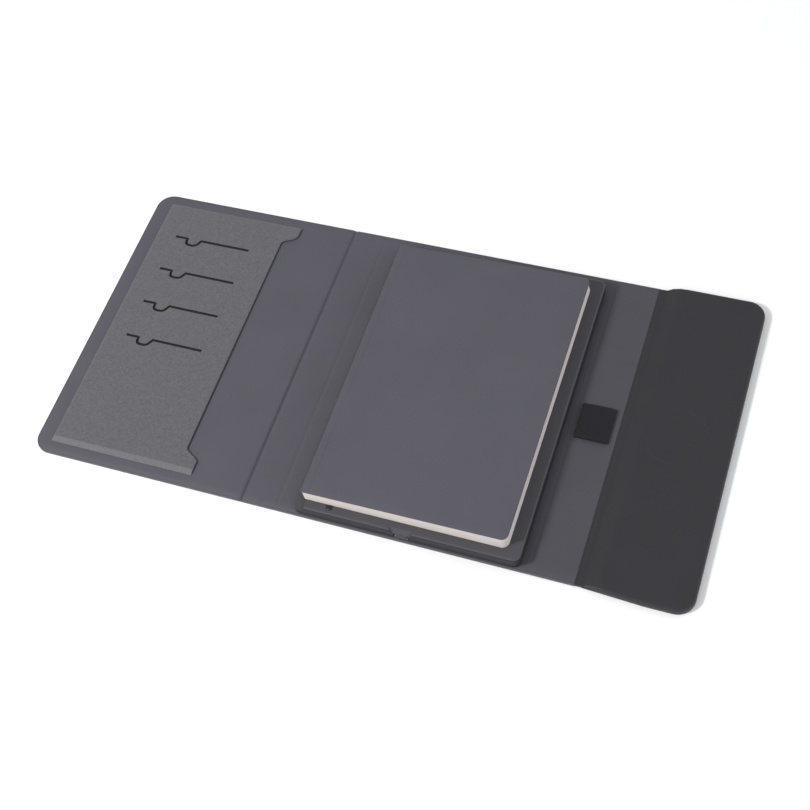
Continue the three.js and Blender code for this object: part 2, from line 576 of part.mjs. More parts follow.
function buildFlap() {
  const hingeTab = block(FLAP_FOLD_X + FOLD_GAP, -half + 0.5, 0, PAD_X + 1, half - 0.5, FLAP.skin);
  const tray = cut(
    plate(padOutline(0), 0, FLAP.face - GLUE), plate(padOutline(FLAP.rim), FLAP.skin, FLAP.top),
    overRamp(GLUE),
  );
  add('flap_outer_skin', join(tray, hingeTab), MATERIAL.black);
  const bayFloor = FLAP.skin + 0.7;
  const magnetZ = FLAP.face - 0.3 - MAGNET.height;
  buildCarrier(bayFloor, magnetZ);
  ['front', 'back'].forEach((end, i) => {
    add(`flap_magnet_${end}`, magnetBlock([-1, 1][i], 0, magnetZ, magnetZ + MAGNET.height), MATERIAL.steel);
  });
  buildCoil(bayFloor);
  buildChargingFace();
}

/** A magnet on one side of the middle, grown by a margin. */
function magnetBlock(side, margin, z0, z1) {
  const [w, l, y] = [MAGNET.width / 2 + margin, MAGNET.length / 2 + margin, side * MAGNET.y];
  return block(magnetX() - w, y - l, z0, magnetX() + w, y + l, z1);
}

function buildCarrier(bayFloor, magnetZ) {
  const body = plate(padOutline(FLAP.rim + GLUE), FLAP.skin + GLUE, FLAP.face - GLUE);
  const bay = post(COIL_X, 0, COIL.outer + 1.5, bayFloor, FLAP.top, COIL.sides);
  const pockets = [-1, 1].map((side) => magnetBlock(side, 0.3, magnetZ - GLUE, FLAP.top));
  const reach = CABLE.width / 2 + CABLE_CLEAR;
  const channel = [
    cableWindow(PAD_X, COIL_X + reach, 0, bayFloor),
    block(COIL_X - reach, CABLE_Y[0] - CABLE_CLEAR, 0, COIL_X + reach, reach, bayFloor),
  ];
  add('flap_carrier', cut(body, bay, ...pockets, ...channel, overRamp(2 * GLUE)), MATERIAL.shell);
}

/** The coil on its ferrite and board, and the ribbon that feeds it. */
function buildCoil(bayFloor) {
  const disc = (z0, z1) => post(COIL_X, 0, COIL.backing, z0, z1, COIL.sides);
  add('coil_board', disc(bayFloor + GLUE, bayFloor + 0.7), MATERIAL.circuit);
  add('ferrite_shield', disc(bayFloor + 0.8, bayFloor + 1.4), MATERIAL.ferrite);
  const { inner, outer, z, height } = COIL;
  const section = [[inner, z], [outer, z], [outer, z + height], [inner, z + height], [inner, z]];
  const coil = new THREE.LatheGeometry(section.map(([r, y]) => new THREE.Vector2(r, y)), COIL.sides);
  add('charging_coil', coil.rotateX(Math.PI / 2).translate(COIL_X, 0, 0), MATERIAL.copper);

  const [low, reach] = [FLAP.skin + 0.15, CABLE.width / 2];
  const high = low + CABLE.height;
  const arm = block(PAD_X + 2, CABLE_Y[0], low, COIL_X + reach, CABLE_Y[1], high);
  const run = block(COIL_X - reach, CABLE_Y[0], low, COIL_X + reach, reach, high);
  add('cable_flap', join(arm, run), MATERIAL.cable);
}

/** The leather over the pad: a ramp from the fold, then level, with an alignment ring pressed in. */
function buildChargingFace() {
  const [end, edge, skin] = [PAD_X + FLAP.ramp, FOLIO_LENGTH / 2, FLAP.top - FLAP.face];
  const side = profile([
    [PAD_X, FLAP.rampTop - skin], [end, FLAP.face], [edge, FLAP.face],
    [edge, FLAP.top], [end, FLAP.top], [PAD_X, FLAP.rampTop],
  ]);
  const sheet = overlap(plate(padOutline(0.3), 0, 9), runAlongY(side, -PAD_REACH - 1, PAD_REACH + 1));
  const { inner, outer, depth } = ALIGNMENT_RING;
  const ring = cut(
    post(COIL_X, 0, outer, FLAP.top - depth, 9, COIL.sides), post(COIL_X, 0, inner, 0, 10, COIL.sides),
  );
  add('charging_face', cut(sheet, ring), MATERIAL.black);
}

buildFrontCover();
buildSpine();
buildCentrePanel();
buildPowerBank();
buildSleeve();
buildNotebook();
buildGusset();
buildFlap();

export default group;
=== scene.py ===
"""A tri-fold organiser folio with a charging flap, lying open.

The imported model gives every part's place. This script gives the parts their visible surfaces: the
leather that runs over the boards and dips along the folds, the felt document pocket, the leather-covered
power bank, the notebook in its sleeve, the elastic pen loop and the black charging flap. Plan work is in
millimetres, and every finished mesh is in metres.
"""

import json
import logging
import math
from dataclasses import dataclass, field
from enum import Enum
from typing import Callable, Iterable, Optional, Sequence, Union

import bmesh
import bpy
import numpy as np
from mathutils import Matrix, Vector
from mathutils.geometry import delaunay_2d_cdt


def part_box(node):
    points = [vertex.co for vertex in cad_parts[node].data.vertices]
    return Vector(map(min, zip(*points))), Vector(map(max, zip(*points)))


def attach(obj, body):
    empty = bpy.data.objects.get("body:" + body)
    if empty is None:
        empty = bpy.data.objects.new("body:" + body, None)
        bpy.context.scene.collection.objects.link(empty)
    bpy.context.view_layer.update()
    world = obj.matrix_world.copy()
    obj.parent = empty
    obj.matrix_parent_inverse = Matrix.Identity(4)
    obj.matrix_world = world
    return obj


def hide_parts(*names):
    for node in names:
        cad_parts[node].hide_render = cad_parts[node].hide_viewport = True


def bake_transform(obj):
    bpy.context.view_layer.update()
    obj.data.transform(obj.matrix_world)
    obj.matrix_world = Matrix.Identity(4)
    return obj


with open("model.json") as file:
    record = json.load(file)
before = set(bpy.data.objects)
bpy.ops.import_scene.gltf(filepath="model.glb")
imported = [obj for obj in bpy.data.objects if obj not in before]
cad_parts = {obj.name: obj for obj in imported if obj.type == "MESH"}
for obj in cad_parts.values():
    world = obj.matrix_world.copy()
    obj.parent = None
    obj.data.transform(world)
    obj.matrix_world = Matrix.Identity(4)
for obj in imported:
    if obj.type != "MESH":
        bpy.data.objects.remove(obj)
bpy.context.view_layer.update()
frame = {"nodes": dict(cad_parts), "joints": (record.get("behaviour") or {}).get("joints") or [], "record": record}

MM = 0.001
LOG = logging.getLogger("folio")

Plan = np.ndarray
Height = Callable[[np.ndarray, np.ndarray], np.ndarray]
Triple = tuple[float, float, float]
Piece = bpy.types.Object
Material = bpy.types.Material
NodeTree = bpy.types.NodeTree
Socket = bpy.types.NodeSocket
Paint = Union[Socket, float, Sequence[float]]

DOUBLED_WITHIN = 2e-6  # metres: points closer than this are one point
LEAST_EDGE = 1e-6  # metres: shorter edges are dissolved
LEAST_THICKNESS = 0.05  # millimetres, of a plate along its edges
RIM_CLEARANCE = 0.45  # millimetres, of a plate's inner points from its rim
HOLE_CLEARANCE = 0.35  # millimetres, of a plate's inner points from a hole
FREE_CLEARANCE = 0.6  # millimetres, of a plate's even points from the listed free points
SMOOTH_BELOW = 34.0  # degrees: edges that turn by more are creased
WAVES_PER_UNIT = 3.183  # bands in one unit of a wave texture whose scale is 1


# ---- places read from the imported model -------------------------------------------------


def box_mm(node: str) -> tuple[np.ndarray, np.ndarray]:
    """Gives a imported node's box in millimetres.

    Args:
        node: The node's name.

    Returns:
        The lowest and the highest corner.
    """
    low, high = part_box(node)
    return np.array(low) / MM, np.array(high) / MM


def joint_mm(name: str) -> np.ndarray:
    """Gives a hinge's point in millimetres.

    Args:
        name: The joint's name.

    Returns:
        The point that its axis runs through.
    """
    found = next(joint for joint in frame["joints"] if joint["name"] == name)
    return np.array(found["pos_m"], float) / MM


# ---- plan outlines ---------------------------------------------------------------------


class Side(Enum):
    """The corner of a rectangle in plan, in the order of its radii."""

    FRONT_LEFT = 0
    FRONT_RIGHT = 1
    BACK_RIGHT = 2
    BACK_LEFT = 3


def along(start: float, end: float, step: float, stations: Iterable[float] = ()) -> np.ndarray:
    """Spaces places evenly from one value to another, and adds the stations that lie between.

    Args:
        start: The first value.
        end: The last value.
        step: The widest spacing.
        stations: More values to keep where they fall inside.

    Returns:
        The places in order, both ends among them.
    """
    count = max(int(math.ceil(abs(end - start) / step)), 1)
    even = np.linspace(start, end, count + 1)
    low, high = min(start, end), max(start, end)
    extra = np.array([s for s in stations if low + 0.05 < s < high - 0.05], float)
    if extra.size:
        near = np.abs(even[:, None] - extra[None, :]).min(1)
        keep = near > step * 0.3
        keep[0] = keep[-1] = True
        even = np.concatenate([even[keep], extra])
    even = np.unique(np.round(even, 5))
    return even if end >= start else even[::-1]


def rounded_rectangle(
    low: Sequence[float],
    high: Sequence[float],
    radii: Sequence[float],
    step: float = 6.0,
    stations: Iterable[float] = (),
    arc_points: int = 8,
) -> Plan:
    """Draws a rectangle with its own radius at each corner, counter-clockwise.

    Args:
        low: The front left corner.
        high: The back right corner.
        radii: The four radii, in the order of Side.
        step: The widest spacing of points on a straight edge.
        stations: Values of X where the front and back edges always have a point.
        arc_points: Segments in each quarter arc.

    Returns:
        The points, with no repeated end.
    """
    x0, y0, x1, y1 = low[0], low[1], high[0], high[1]
    fl, fr, br, bl = (radii[side.value] for side in Side)
    stations = list(stations)
    points: list[tuple[float, float]] = []

    def arc(cx: float, cy: float, radius: float, start: float) -> None:
        """Adds a quarter arc, or nothing where the corner is sharp."""
        for k in range(1, arc_points):
            angle = math.radians(start + 90.0 * k / arc_points)
            points.append((cx + radius * math.cos(angle), cy + radius * math.sin(angle)))

    points += [(x, y0) for x in along(x0 + fl, x1 - fr, step, stations)]
    if fr:
        arc(x1 - fr, y0 + fr, fr, -90)
    points += [(x1, y) for y in along(y0 + fr, y1 - br, step)][0 if fr else 1 :]
    if br:
        arc(x1 - br, y1 - br, br, 0)
    points += [(x, y1) for x in along(x1 - br, x0 + bl, step, stations)][0 if br else 1 :]
    if bl:
        arc(x0 + bl, y1 - bl, bl, 90)
    points += [(x0, y) for y in along(y1 - bl, y0 + fl, step)][0 if bl else 1 : None if fl else -1]
    if fl:
        arc(x0 + fl, y0 + fl, fl, 180)
    return np.array(points, float)


def circle(centre: Sequence[float], radius: float, count: int) -> Plan:
    """Draws a circle, counter-clockwise."""
    angles = np.arange(count) * 2 * math.pi / count
    return np.stack([centre[0] + radius * np.cos(angles), centre[1] + radius * np.sin(angles)], 1)


def bezier(
    p0: Sequence[float], p1: Sequence[float], p2: Sequence[float], p3: Sequence[float], count: int
) -> Plan:
    """Gives points on a cubic curve, without its first point.

    Args:
        p0: Where it starts.
        p1: Its first handle.
        p2: Its second handle.
        p3: Where it ends.
        count: How many points.

    Returns:
        The points, the last one at p3.
    """
    t = (np.arange(count) + 1)[:, None] / count
    a, b, c, d = (np.array(p, float) for p in (p0, p1, p2, p3))
    return a * (1 - t) ** 3 + 3 * b * t * (1 - t) ** 2 + 3 * c * t**2 * (1 - t) + d * t**3


def even_line(points: Plan, step: float, closed: bool = False) -> Plan:
    """Adds points to a line so that none are further apart than a step, and keeps its corners.

    Args:
        points: The line's points.
        step: The widest spacing.
        closed: Whether the last point joins the first.

    Returns:
        The finer line.
    """
    ends = np.roll(points, -1, 0) if closed else points[1:]
    made: list[np.ndarray] = []
    for start, end in zip(points, ends):
        count = max(int(math.ceil(np.linalg.norm(end - start) / step)), 1)
        made += [start + (end - start) * k / count for k in range(count)]
    if not closed:
        made.append(points[-1])
    return np.array(made)


def inward(points: Plan) -> np.ndarray:
    """Gives the mitred inward direction at each point of a counter-clockwise outline.

    Args:
        points: The outline.

    Returns:
        A vector for each point that, times an inset, gives the inset outline.
    """
    before, after = points - np.roll(points, 1, 0), np.roll(points, -1, 0) - points
    normals = []
    for edge in (before, after):
        unit = edge / np.linalg.norm(edge, axis=1, keepdims=True)
        normals.append(np.stack([-unit[:, 1], unit[:, 0]], 1))
    first, second = normals
    share = 1 + (first * second).sum(1, keepdims=True)
    return (first + second) / np.maximum(share, 0.35)


def band_outline(line: Plan, width: float) -> Plan:
    """Draws the outline of a narrow band along an open line, counter-clockwise.

    Args:
        line: The band's middle line.
        width: The band's width.

    Returns:
        The outline.
    """
    step = np.gradient(line, axis=0)
    step /= np.linalg.norm(step, axis=1, keepdims=True)
    normal = np.stack([-step[:, 1], step[:, 0]], 1)
    outline = np.concatenate([line - normal * width / 2, (line + normal * width / 2)[::-1]])
    area = np.cross(outline, np.roll(outline, -1, 0)).sum()
    return outline if area > 0 else outline[::-1]


def inside(points: Plan, outline: Plan) -> np.ndarray:
    """Says which points lie inside an outline.

    Args:
        points: The points to test.
        outline: The outline.

    Returns:
        True for each point that is inside.
    """
    x, y = points[:, 0][:, None], points[:, 1][:, None]
    x0, y0 = outline[:, 0][None], outline[:, 1][None]
    x1, y1 = np.roll(outline[:, 0], -1)[None], np.roll(outline[:, 1], -1)[None]
    with np.errstate(divide="ignore", invalid="ignore"):
        crosses = ((y0 > y) != (y1 > y)) & (x < (x1 - x0) * (y - y0) / (y1 - y0) + x0)
    return crosses.sum(1) % 2 == 1


def clearance(points: Plan, outline: Plan) -> np.ndarray:
    """Gives each point's distance from an outline.

    Args:
        points: The points to measure from.
        outline: The outline.

    Returns:
        The distances.
    """
    start, edge = outline, np.roll(outline, -1, 0) - outline
    length = np.maximum((edge**2).sum(1), 1e-12)
    reach = points[:, None, :] - start[None]
    t = np.clip((reach * edge[None]).sum(2) / length[None], 0, 1)
    gap = reach - t[..., None] * edge[None]
    return np.sqrt((gap**2).sum(2)).min(1)


def smooth(value: np.ndarray) -> np.ndarray:
    """Eases a share from 0 to 1, and holds it outside that range."""
    t = np.clip(value, 0, 1)
    return t * t * (3 - 2 * t)


# ---- meshes ----------------------------------------------------------------------------


@dataclass
class Shell:
    """Points and faces being gathered into one mesh, in millimetres."""

    points: list[np.ndarray] = field(default_factory=list)
    faces: list[tuple[int, ...]] = field(default_factory=list)
    count: int = 0

    def add(self, points: np.ndarray) -> np.ndarray:
        """Adds points and gives their numbers.

        Args:
            points: The points, each with X, Y and Z.

        Returns:
            The numbers.
        """
        self.points.append(np.asarray(points, float))
        numbers = np.arange(self.count, self.count + len(points))
        self.count += len(points)
        return numbers

    def bridge(self, first: np.ndarray, second: np.ndarray, closed: bool = True) -> None:
        """Joins two rows of the same length with four-sided faces.

        Args:
            first: Numbers of the row that is on the left, looking from outside with the second row above.
            second: Numbers of the other row.
            closed: Whether the rows are loops.
        """
        count = len(first)
        for k in range(count if closed else count - 1):
            n = (k + 1) % count
            self.faces.append((first[k], first[n], second[n], second[k]))

    def piece(self, name: str, sharp_degrees: float = SMOOTH_BELOW) -> Piece:
        """Makes the piece from what was gathered.

        Args:
            name: The piece's name.
            sharp_degrees: Edges that turn by more than this are creased.

        Returns:
            The new object, in metres.
        """
        mesh = bpy.data.meshes.new(name)
        places = (np.concatenate(self.points) * MM).tolist()
        mesh.from_pydata(places, [], [tuple(map(int, face)) for face in self.faces])
        mesh.update()
        piece = bpy.data.objects.new(name, mesh)
        bpy.context.scene.collection.objects.link(piece)
        return finish_mesh(piece, sharp_degrees)


def finish_mesh(piece: Piece, sharp_degrees: float = SMOOTH_BELOW) -> Piece:
    """Merges doubled points, turns faces outwards and sets smooth and creased shading.

    Args:
        piece: The piece to finish.
        sharp_degrees: Edges that turn by more than this are creased.

    Returns:
        The same piece.
    """
    work = bmesh.new()
    work.from_mesh(piece.data)
    bmesh.ops.remove_doubles(work, verts=work.verts, dist=DOUBLED_WITHIN)
    bmesh.ops.dissolve_degenerate(work, edges=work.edges, dist=LEAST_EDGE)
    bmesh.ops.recalc_face_normals(work, faces=work.faces)
    work.to_mesh(piece.data)
    work.free()
    piece.data.shade_smooth()
    piece.data.set_sharp_from_angle(angle=math.radians(sharp_degrees))
    return piece


@dataclass
class Ring:
    """One step of an edge's section.

    Attributes:
        inset: How far in from the outline.
        drop: How far below the upper face, or above the lower face.
        face: A height function to use in place of the plate's own face.
        share: Where it stands between the two faces, from 0 to 1, in place of drop.
    """

    inset: float
    drop: float = 0.0
    face: Optional[Height] = None
    share: Optional[float] = None


def round_over(radius: float, segments: int = 4) -> list[Ring]:
    """Gives the rings of a rounded edge, from the outline inwards.

    Args:
        radius: The rounding's radius.
        segments: Steps around the quarter.

    Returns:
        The rings, the last one level with the face.
    """
    angles = [math.pi / 2 * k / segments for k in range(segments + 1)]
    return [Ring(radius * (1 - math.cos(a)), radius * (1 - math.sin(a))) for a in angles]


@dataclass
class Relief:
    """A closed plate whose two faces follow height functions and whose edges are rounded.

    Attributes:
        name: The piece's name.
        outline: Its plan, counter-clockwise.
        top: The height of its upper face.
        bottom: The height of its lower face.
        top_edge: The upper edge's rings, from the outline inwards.
        bottom_edge: The lower edge's rings.
        holes: Outlines cut through it, counter-clockwise.
        hole_edge: The rings around each hole, from the hole outwards.
        step: The spacing of points inside.
        stations: More values of X for points inside.
        rows: More values of Y for points inside.
        free: Points inside that are given as a list.
    """

    name: str
    outline: Plan
    top: Height
    bottom: Height
    top_edge: list[Ring]
    bottom_edge: list[Ring]
    holes: list[Plan] = field(default_factory=list)
    hole_edge: list[Ring] = field(default_factory=lambda: [Ring(0, 0.12), Ring(0.18, 0)])
    step: float = 6.0
    stations: Sequence[float] = ()
    rows: Sequence[float] = ()
    free: Optional[Plan] = None

    def _loop(self, shell: Shell, plan: Plan, directions: np.ndarray, ring: Ring, upper: bool) -> np.ndarray:
        """Adds one ring of the edge and gives its numbers.

        Args:
            shell: Where the points go.
            plan: The outline that the ring follows.
            directions: The direction of an inset at each point.
            ring: The ring.
            upper: Whether it belongs to the upper face.

        Returns:
            The points' numbers.
        """
        at = plan + directions * ring.inset
        low = self.bottom(at[:, 0], at[:, 1])
        if ring.share is not None:
            height = low + (self.top(at[:, 0], at[:, 1]) - low) * ring.share
        elif upper:
            face = ring.face or self.top
            height = np.maximum(face(at[:, 0], at[:, 1]) - ring.drop, low + LEAST_THICKNESS)
        else:
            height = low + ring.drop
        return shell.add(np.column_stack([at, height]))

    def _inner_points(self, loops: list[Plan]) -> Plan:
        """Gives the points inside the outermost loop and clear of every loop.

        Args:
            loops: The outer loop, then the holes.

        Returns:
            The points.
        """
        low, high = self.outline.min(0), self.outline.max(0)
        xs = along(low[0], high[0], self.step, self.stations)[1:-1]
        ys = along(low[1], high[1], self.step, self.rows)[1:-1]
        grid = np.stack(np.meshgrid(xs, ys), -1).reshape(-1, 2)
        if self.free is not None:
            far = np.array([((self.free - p) ** 2).sum(1).min() > FREE_CLEARANCE**2 for p in grid])
            grid = np.concatenate([grid[far], self.free])
        keep = inside(grid, loops[0]) & (clearance(grid, loops[0]) > RIM_CLEARANCE)
        for hole in loops[1:]:
            keep &= ~inside(grid, hole) & (clearance(grid, hole) > HOLE_CLEARANCE)
        return grid[keep]

    def _fill(self, shell: Shell, loops: list[np.ndarray], upper: bool) -> None:
        """Covers one face between its loops.

        Args:
            shell: Where the faces go.
            loops: The outer loop, then the holes.
            upper: Whether it is the upper face.
        """
        every = np.concatenate(shell.points)
        plans = [every[loop][:, :2] for loop in loops]
        inner = self._inner_points(plans)
        face = self.top if upper else self.bottom
        numbers = shell.add(np.column_stack([inner, face(inner[:, 0], inner[:, 1])]))
        flat = np.concatenate([*plans, inner])
        known = np.concatenate([*loops, numbers])
        edges, start = [], 0
        for plan in plans:
            edges += [(start + k, start + (k + 1) % len(plan)) for k in range(len(plan))]
            start += len(plan)
        verts, _, faces, origin, _, _ = delaunay_2d_cdt([Vector(p) for p in flat], edges, [], 0, 1e-6, True)
        if any(not found for found in origin):
            raise ValueError(f"{self.name}: its loops cross")
        at = np.array([tuple(v) for v in verts])
        triangles = np.array([face[:3] for face in faces])
        middles = at[triangles].mean(1)
        keep = inside(middles, plans[0])
        for hole in plans[1:]:
            keep &= ~inside(middles, hole)
        for triangle in triangles[keep]:
            a, b, c = (known[origin[k][0]] for k in triangle)
            shell.faces.append((a, b, c) if upper else (a, c, b))

    def piece(self, sharp_degrees: float = SMOOTH_BELOW) -> Piece:
        """Makes the plate.

        Args:
            sharp_degrees: Edges that turn by more than this are creased.

        Returns:
            The new object.
        """
        shell = Shell()
        directions = inward(self.outline)
        lower = [self._loop(shell, self.outline, directions, ring, False) for ring in self.bottom_edge]
        upper = [self._loop(shell, self.outline, directions, ring, True) for ring in self.top_edge]
        rows = lower[::-1] + upper
        for first, second in zip(rows, rows[1:]):
            shell.bridge(first, second)
        top_loops, bottom_loops = [upper[-1]], [lower[-1]]
        for hole in self.holes:
            outwards = -inward(hole)
            low = self._loop(shell, hole, outwards, Ring(0, 0), False)
            rims = [self._loop(shell, hole, outwards, ring, True) for ring in self.hole_edge]
            for first, second in zip([low, *rims], rims):
                shell.bridge(second, first)
            top_loops.append(rims[-1])
            bottom_loops.append(low)
        self._fill(shell, top_loops, True)
        self._fill(shell, bottom_loops, False)
        return shell.piece(self.name, sharp_degrees)


def level(height: float) -> Height:
    """Gives the height function of a level face."""
    return lambda x, y: np.full(np.shape(x), float(height))


def cut_between(piece: Piece, name: str, low: Optional[float], high: Optional[float]) -> Piece:
    """Copies the stretch of a piece between two values of X, and closes its cut ends.

    Args:
        piece: The whole piece.
        name: The new piece's name.
        low: The lower cut in millimetres, or None.
        high: The upper cut in millimetres, or None.

    Returns:
        The new piece.
    """
    work = bmesh.new()
    work.from_mesh(piece.data)
    for place, sign in ((low, -1.0), (high, 1.0)):
        if place is None:
            continue
        bmesh.ops.bisect_plane(
            work,
            geom=[*work.verts, *work.edges, *work.faces],
            dist=1e-7,
            plane_co=(place * MM, 0, 0),
            plane_no=(sign, 0, 0),
            clear_outer=True,
        )
        rim = [edge for edge in work.edges if edge.is_boundary]
        bmesh.ops.holes_fill(work, edges=rim, sides=0)
    bmesh.ops.triangulate(work, faces=[face for face in work.faces if len(face.verts) > 4])
    mesh = bpy.data.meshes.new(name)
    work.to_mesh(mesh)
    work.free()
    made = bpy.data.objects.new(name, mesh)
    bpy.context.scene.collection.objects.link(made)
    return finish_mesh(made)


def carve(piece: Piece, *cutters: Piece) -> Piece:
    """Cuts closed shapes out of a piece and removes them.

    Args:
        piece: The piece to cut.
        cutters: The shapes to take away.

    Returns:
        The same piece.
    """
    for cutter in cutters:
        modifier = piece.modifiers.new("cut", "BOOLEAN")
        modifier.operation, modifier.solver, modifier.object = "DIFFERENCE", "EXACT", cutter
        bpy.context.view_layer.update()
        mesh = bpy.data.meshes.new_from_object(piece.evaluated_get(bpy.context.evaluated_depsgraph_get()))
        piece.modifiers.clear()
        piece.data = mesh
        bpy.data.objects.remove(cutter)
    return finish_mesh(piece)


def prism(outline: Plan, low: float, high: float, axes: str = "xyz") -> Piece:
    """Makes a plain closed prism to cut with.

    Args:
        outline: Its outline on its first two axes, counter-clockwise.
        low: Where it starts on the third axis.
        high: Where it ends.
        axes: The three axes in that order.

    Returns:
        The new object.
    """
    shell = Shell()
    order = ["xyz".index(axis) for axis in axes]
    rows = []
    for height in (low, high):
        at = np.zeros((len(outline), 3))
        at[:, order[0]], at[:, order[1]], at[:, order[2]] = outline[:, 0], outline[:, 1], height
        rows.append(shell.add(at))
    shell.bridge(rows[0], rows[1])
    shell.faces += [tuple(rows[0][::-1]), tuple(rows[1])]
    return shell.piece("cutter")


def lathe(
    name: str, centre: Sequence[float], profile: Sequence[Sequence[float]], count: int = 40
) -> Piece:
    """Turns a closed section about an upright axis.

    Args:
        name: The piece's name.
        centre: The axis in plan.
        profile: Radius and height of each point, from the axis to the axis.
        count: Segments around.

    Returns:
        The new object.
    """
    shell = Shell()
    rings = []
    for radius, height in profile:
        plan = circle(centre, max(radius, 1e-4), count)
        rings.append(shell.add(np.column_stack([plan, np.full(count, height)])))
    for first, second in zip(rings, rings[1:]):
        shell.bridge(first, second)
    shell.faces += [tuple(rings[0][::-1]), tuple(rings[-1])]
    return shell.piece(name)


def sweep(name: str, section: Plan, ys: np.ndarray) -> Piece:
    """Runs a closed section in X and Z along Y.

    Args:
        name: The piece's name.
        section: The section's points, counter-clockwise in X and Z.
        ys: The places along Y.

    Returns:
        The new object.
    """
    shell = Shell()
    rows = []
    for y in ys:
        rows.append(shell.add(np.column_stack([section[:, 0], np.full(len(section), y), section[:, 1]])))
    for first, second in zip(rows, rows[1:]):
        shell.bridge(second, first)
    shell.faces += [tuple(rows[0]), tuple(rows[-1][::-1])]
    return shell.piece(name)


# ---- finishes --------------------------------------------------------------------------


def tone(red: int, green: int, blue: int) -> Triple:
    """Turns a display colour, 0 to 255 each, into a linear one.

    Args:
        red: The red value.
        green: The green value.
        blue: The blue value.

    Returns:
        The linear colour.
    """

    def linear(value: int) -> float:
        """Undoes the display's curve for one channel."""
        share = value / 255
        return share / 12.92 if share <= 0.04045 else ((share + 0.055) / 1.055) ** 2.4

    return linear(red), linear(green), linear(blue)


def shade(colour: Sequence[float], factor: float) -> tuple[float, float, float, float]:
    """Scales a linear colour and gives it its alpha."""
    return (*(min(channel * factor, 1.0) for channel in colour[:3]), 1.0)


class NodeBench:
    """A material's node tree while it is being built."""

    def __init__(self, name: str, colour: Sequence[float], roughness: float, metallic: float = 0.0) -> None:
        """Starts a material with its shader.

        Args:
            name: The material's name.
            colour: The linear colour.
            roughness: The shader's roughness.
            metallic: The shader's metallic value.
        """
        self.made = bpy.data.materials.new(name)
        self.made.use_nodes = True
        self.made.diffuse_color = shade(colour, 1.0)
        self.tree = self.made.node_tree
        self.shader = self.tree.nodes["Principled BSDF"]
        self.shader.inputs["Base Color"].default_value = shade(colour, 1.0)
        self.shader.inputs["Roughness"].default_value = roughness
        self.shader.inputs["Metallic"].default_value = metallic
        self.place = self.node("ShaderNodeTexCoord").outputs["Object"]

    def node(self, kind: str, **values: object) -> bpy.types.Node:
        """Adds a node.

        Args:
            kind: The node's type.
            **values: Sockets by name, with _ for a space, or else the node's own settings.

        Returns:
            The node.
        """
        made = self.tree.nodes.new(kind)
        for key, value in values.items():
            socket = made.inputs.get(key.replace("_", " "))
            if socket is None:
                setattr(made, key, value)
            elif isinstance(value, Socket):
                self.tree.links.new(value, socket)
            else:
                socket.default_value = value
        return made

    def stretched(self, scale: Sequence[float], turn_degrees: float = 0.0) -> Socket:
        """Gives the coordinates scaled on each axis, after a turn about Z."""
        turn = (0.0, 0.0, math.radians(turn_degrees))
        return self.node("ShaderNodeMapping", Vector=self.place, Scale=tuple(scale), Rotation=turn).outputs[0]

    def noise(
        self, size_mm: float, detail: float = 3.0, rough: float = 0.55, place: Optional[Socket] = None
    ) -> Socket:
        """Adds noise whose features are about this size.

        Args:
            size_mm: The features' size in millimetres.
            detail: Octaves of detail.
            rough: How strong the finer octaves are.
            place: Coordinates, or None for the piece's own.

        Returns:
            The value's socket.
        """
        source = self.place if place is None else place
        made = self.node(
            "ShaderNodeTexNoise", Vector=source, Scale=1000.0 / size_mm, Detail=detail, Roughness=rough
        )
        return made.outputs["Fac"]

    def cells(self, size_mm: float) -> Socket:
        """Adds the distance to the edges of small cells, as in grained leather."""
        made = self.node("ShaderNodeTexVoronoi", Vector=self.place, Scale=1000.0 / size_mm, Randomness=1.0)
        return made.outputs["Distance"]

    def lines(self, pitch_mm: float, axis: str, wobble: float = 0.0) -> Socket:
        """Adds straight lines across an axis.

        Args:
            pitch_mm: The distance from line to line.
            axis: The axis that they repeat along.
            wobble: How much they waver.

        Returns:
            The value's socket.
        """
        made = self.node(
            "ShaderNodeTexWave",
            Vector=self.place,
            bands_direction=axis,
            Scale=1000.0 / pitch_mm / WAVES_PER_UNIT,
            Distortion=wobble,
            Detail=2.0,
            Detail_Scale=1.5,
        )
        return made.outputs["Fac"]

    def spread(
        self, value: Socket, low: float, high: float, start: float = 0.3, end: float = 0.7
    ) -> Socket:
        """Maps a value's middle range onto another range.

        Args:
            value: The value's socket.
            low: What it gives at the start.
            high: What it gives at the end.
            start: The value where it starts.
            end: The value where it ends.

        Returns:
            The mapped value's socket.
        """
        made = self.node("ShaderNodeMapRange", Value=value)
        for name, number in (("From Min", start), ("From Max", end), ("To Min", low), ("To Max", high)):
            made.inputs[name].default_value = number
        return made.outputs["Result"]

    def mix(self, share: Paint, first: Paint, second: Paint) -> Socket:
        """Mixes two colours.

        Args:
            share: The share of the second, a number or a socket.
            first: A linear colour or a socket.
            second: A linear colour or a socket.

        Returns:
            The mixed colour's socket.
        """
        made = self.node("ShaderNodeMix", data_type="RGBA")
        for socket, value in zip((made.inputs[0], made.inputs[6], made.inputs[7]), (share, first, second)):
            if isinstance(value, Socket):
                self.tree.links.new(value, socket)
            else:
                socket.default_value = value
        return made.outputs[2]

    def colour(self, value: Socket) -> None:
        """Sends a colour to the shader."""
        self.tree.links.new(value, self.shader.inputs["Base Color"])

    def roughness(self, value: Socket) -> None:
        """Sends a roughness to the shader."""
        self.tree.links.new(value, self.shader.inputs["Roughness"])

    def bump(self, *layers: tuple[Socket, float]) -> None:
        """Adds relief to the shader.

        Args:
            *layers: A height and its depth in millimetres, each laid over the one before.
        """
        normal = None
        for height, depth_mm in layers:
            made = self.node("ShaderNodeBump", Height=height, Distance=depth_mm * MM, Strength=1.0)
            if normal is not None:
                self.tree.links.new(normal, made.inputs["Normal"])
            normal = made.outputs["Normal"]
        self.tree.links.new(normal, self.shader.inputs["Normal"])


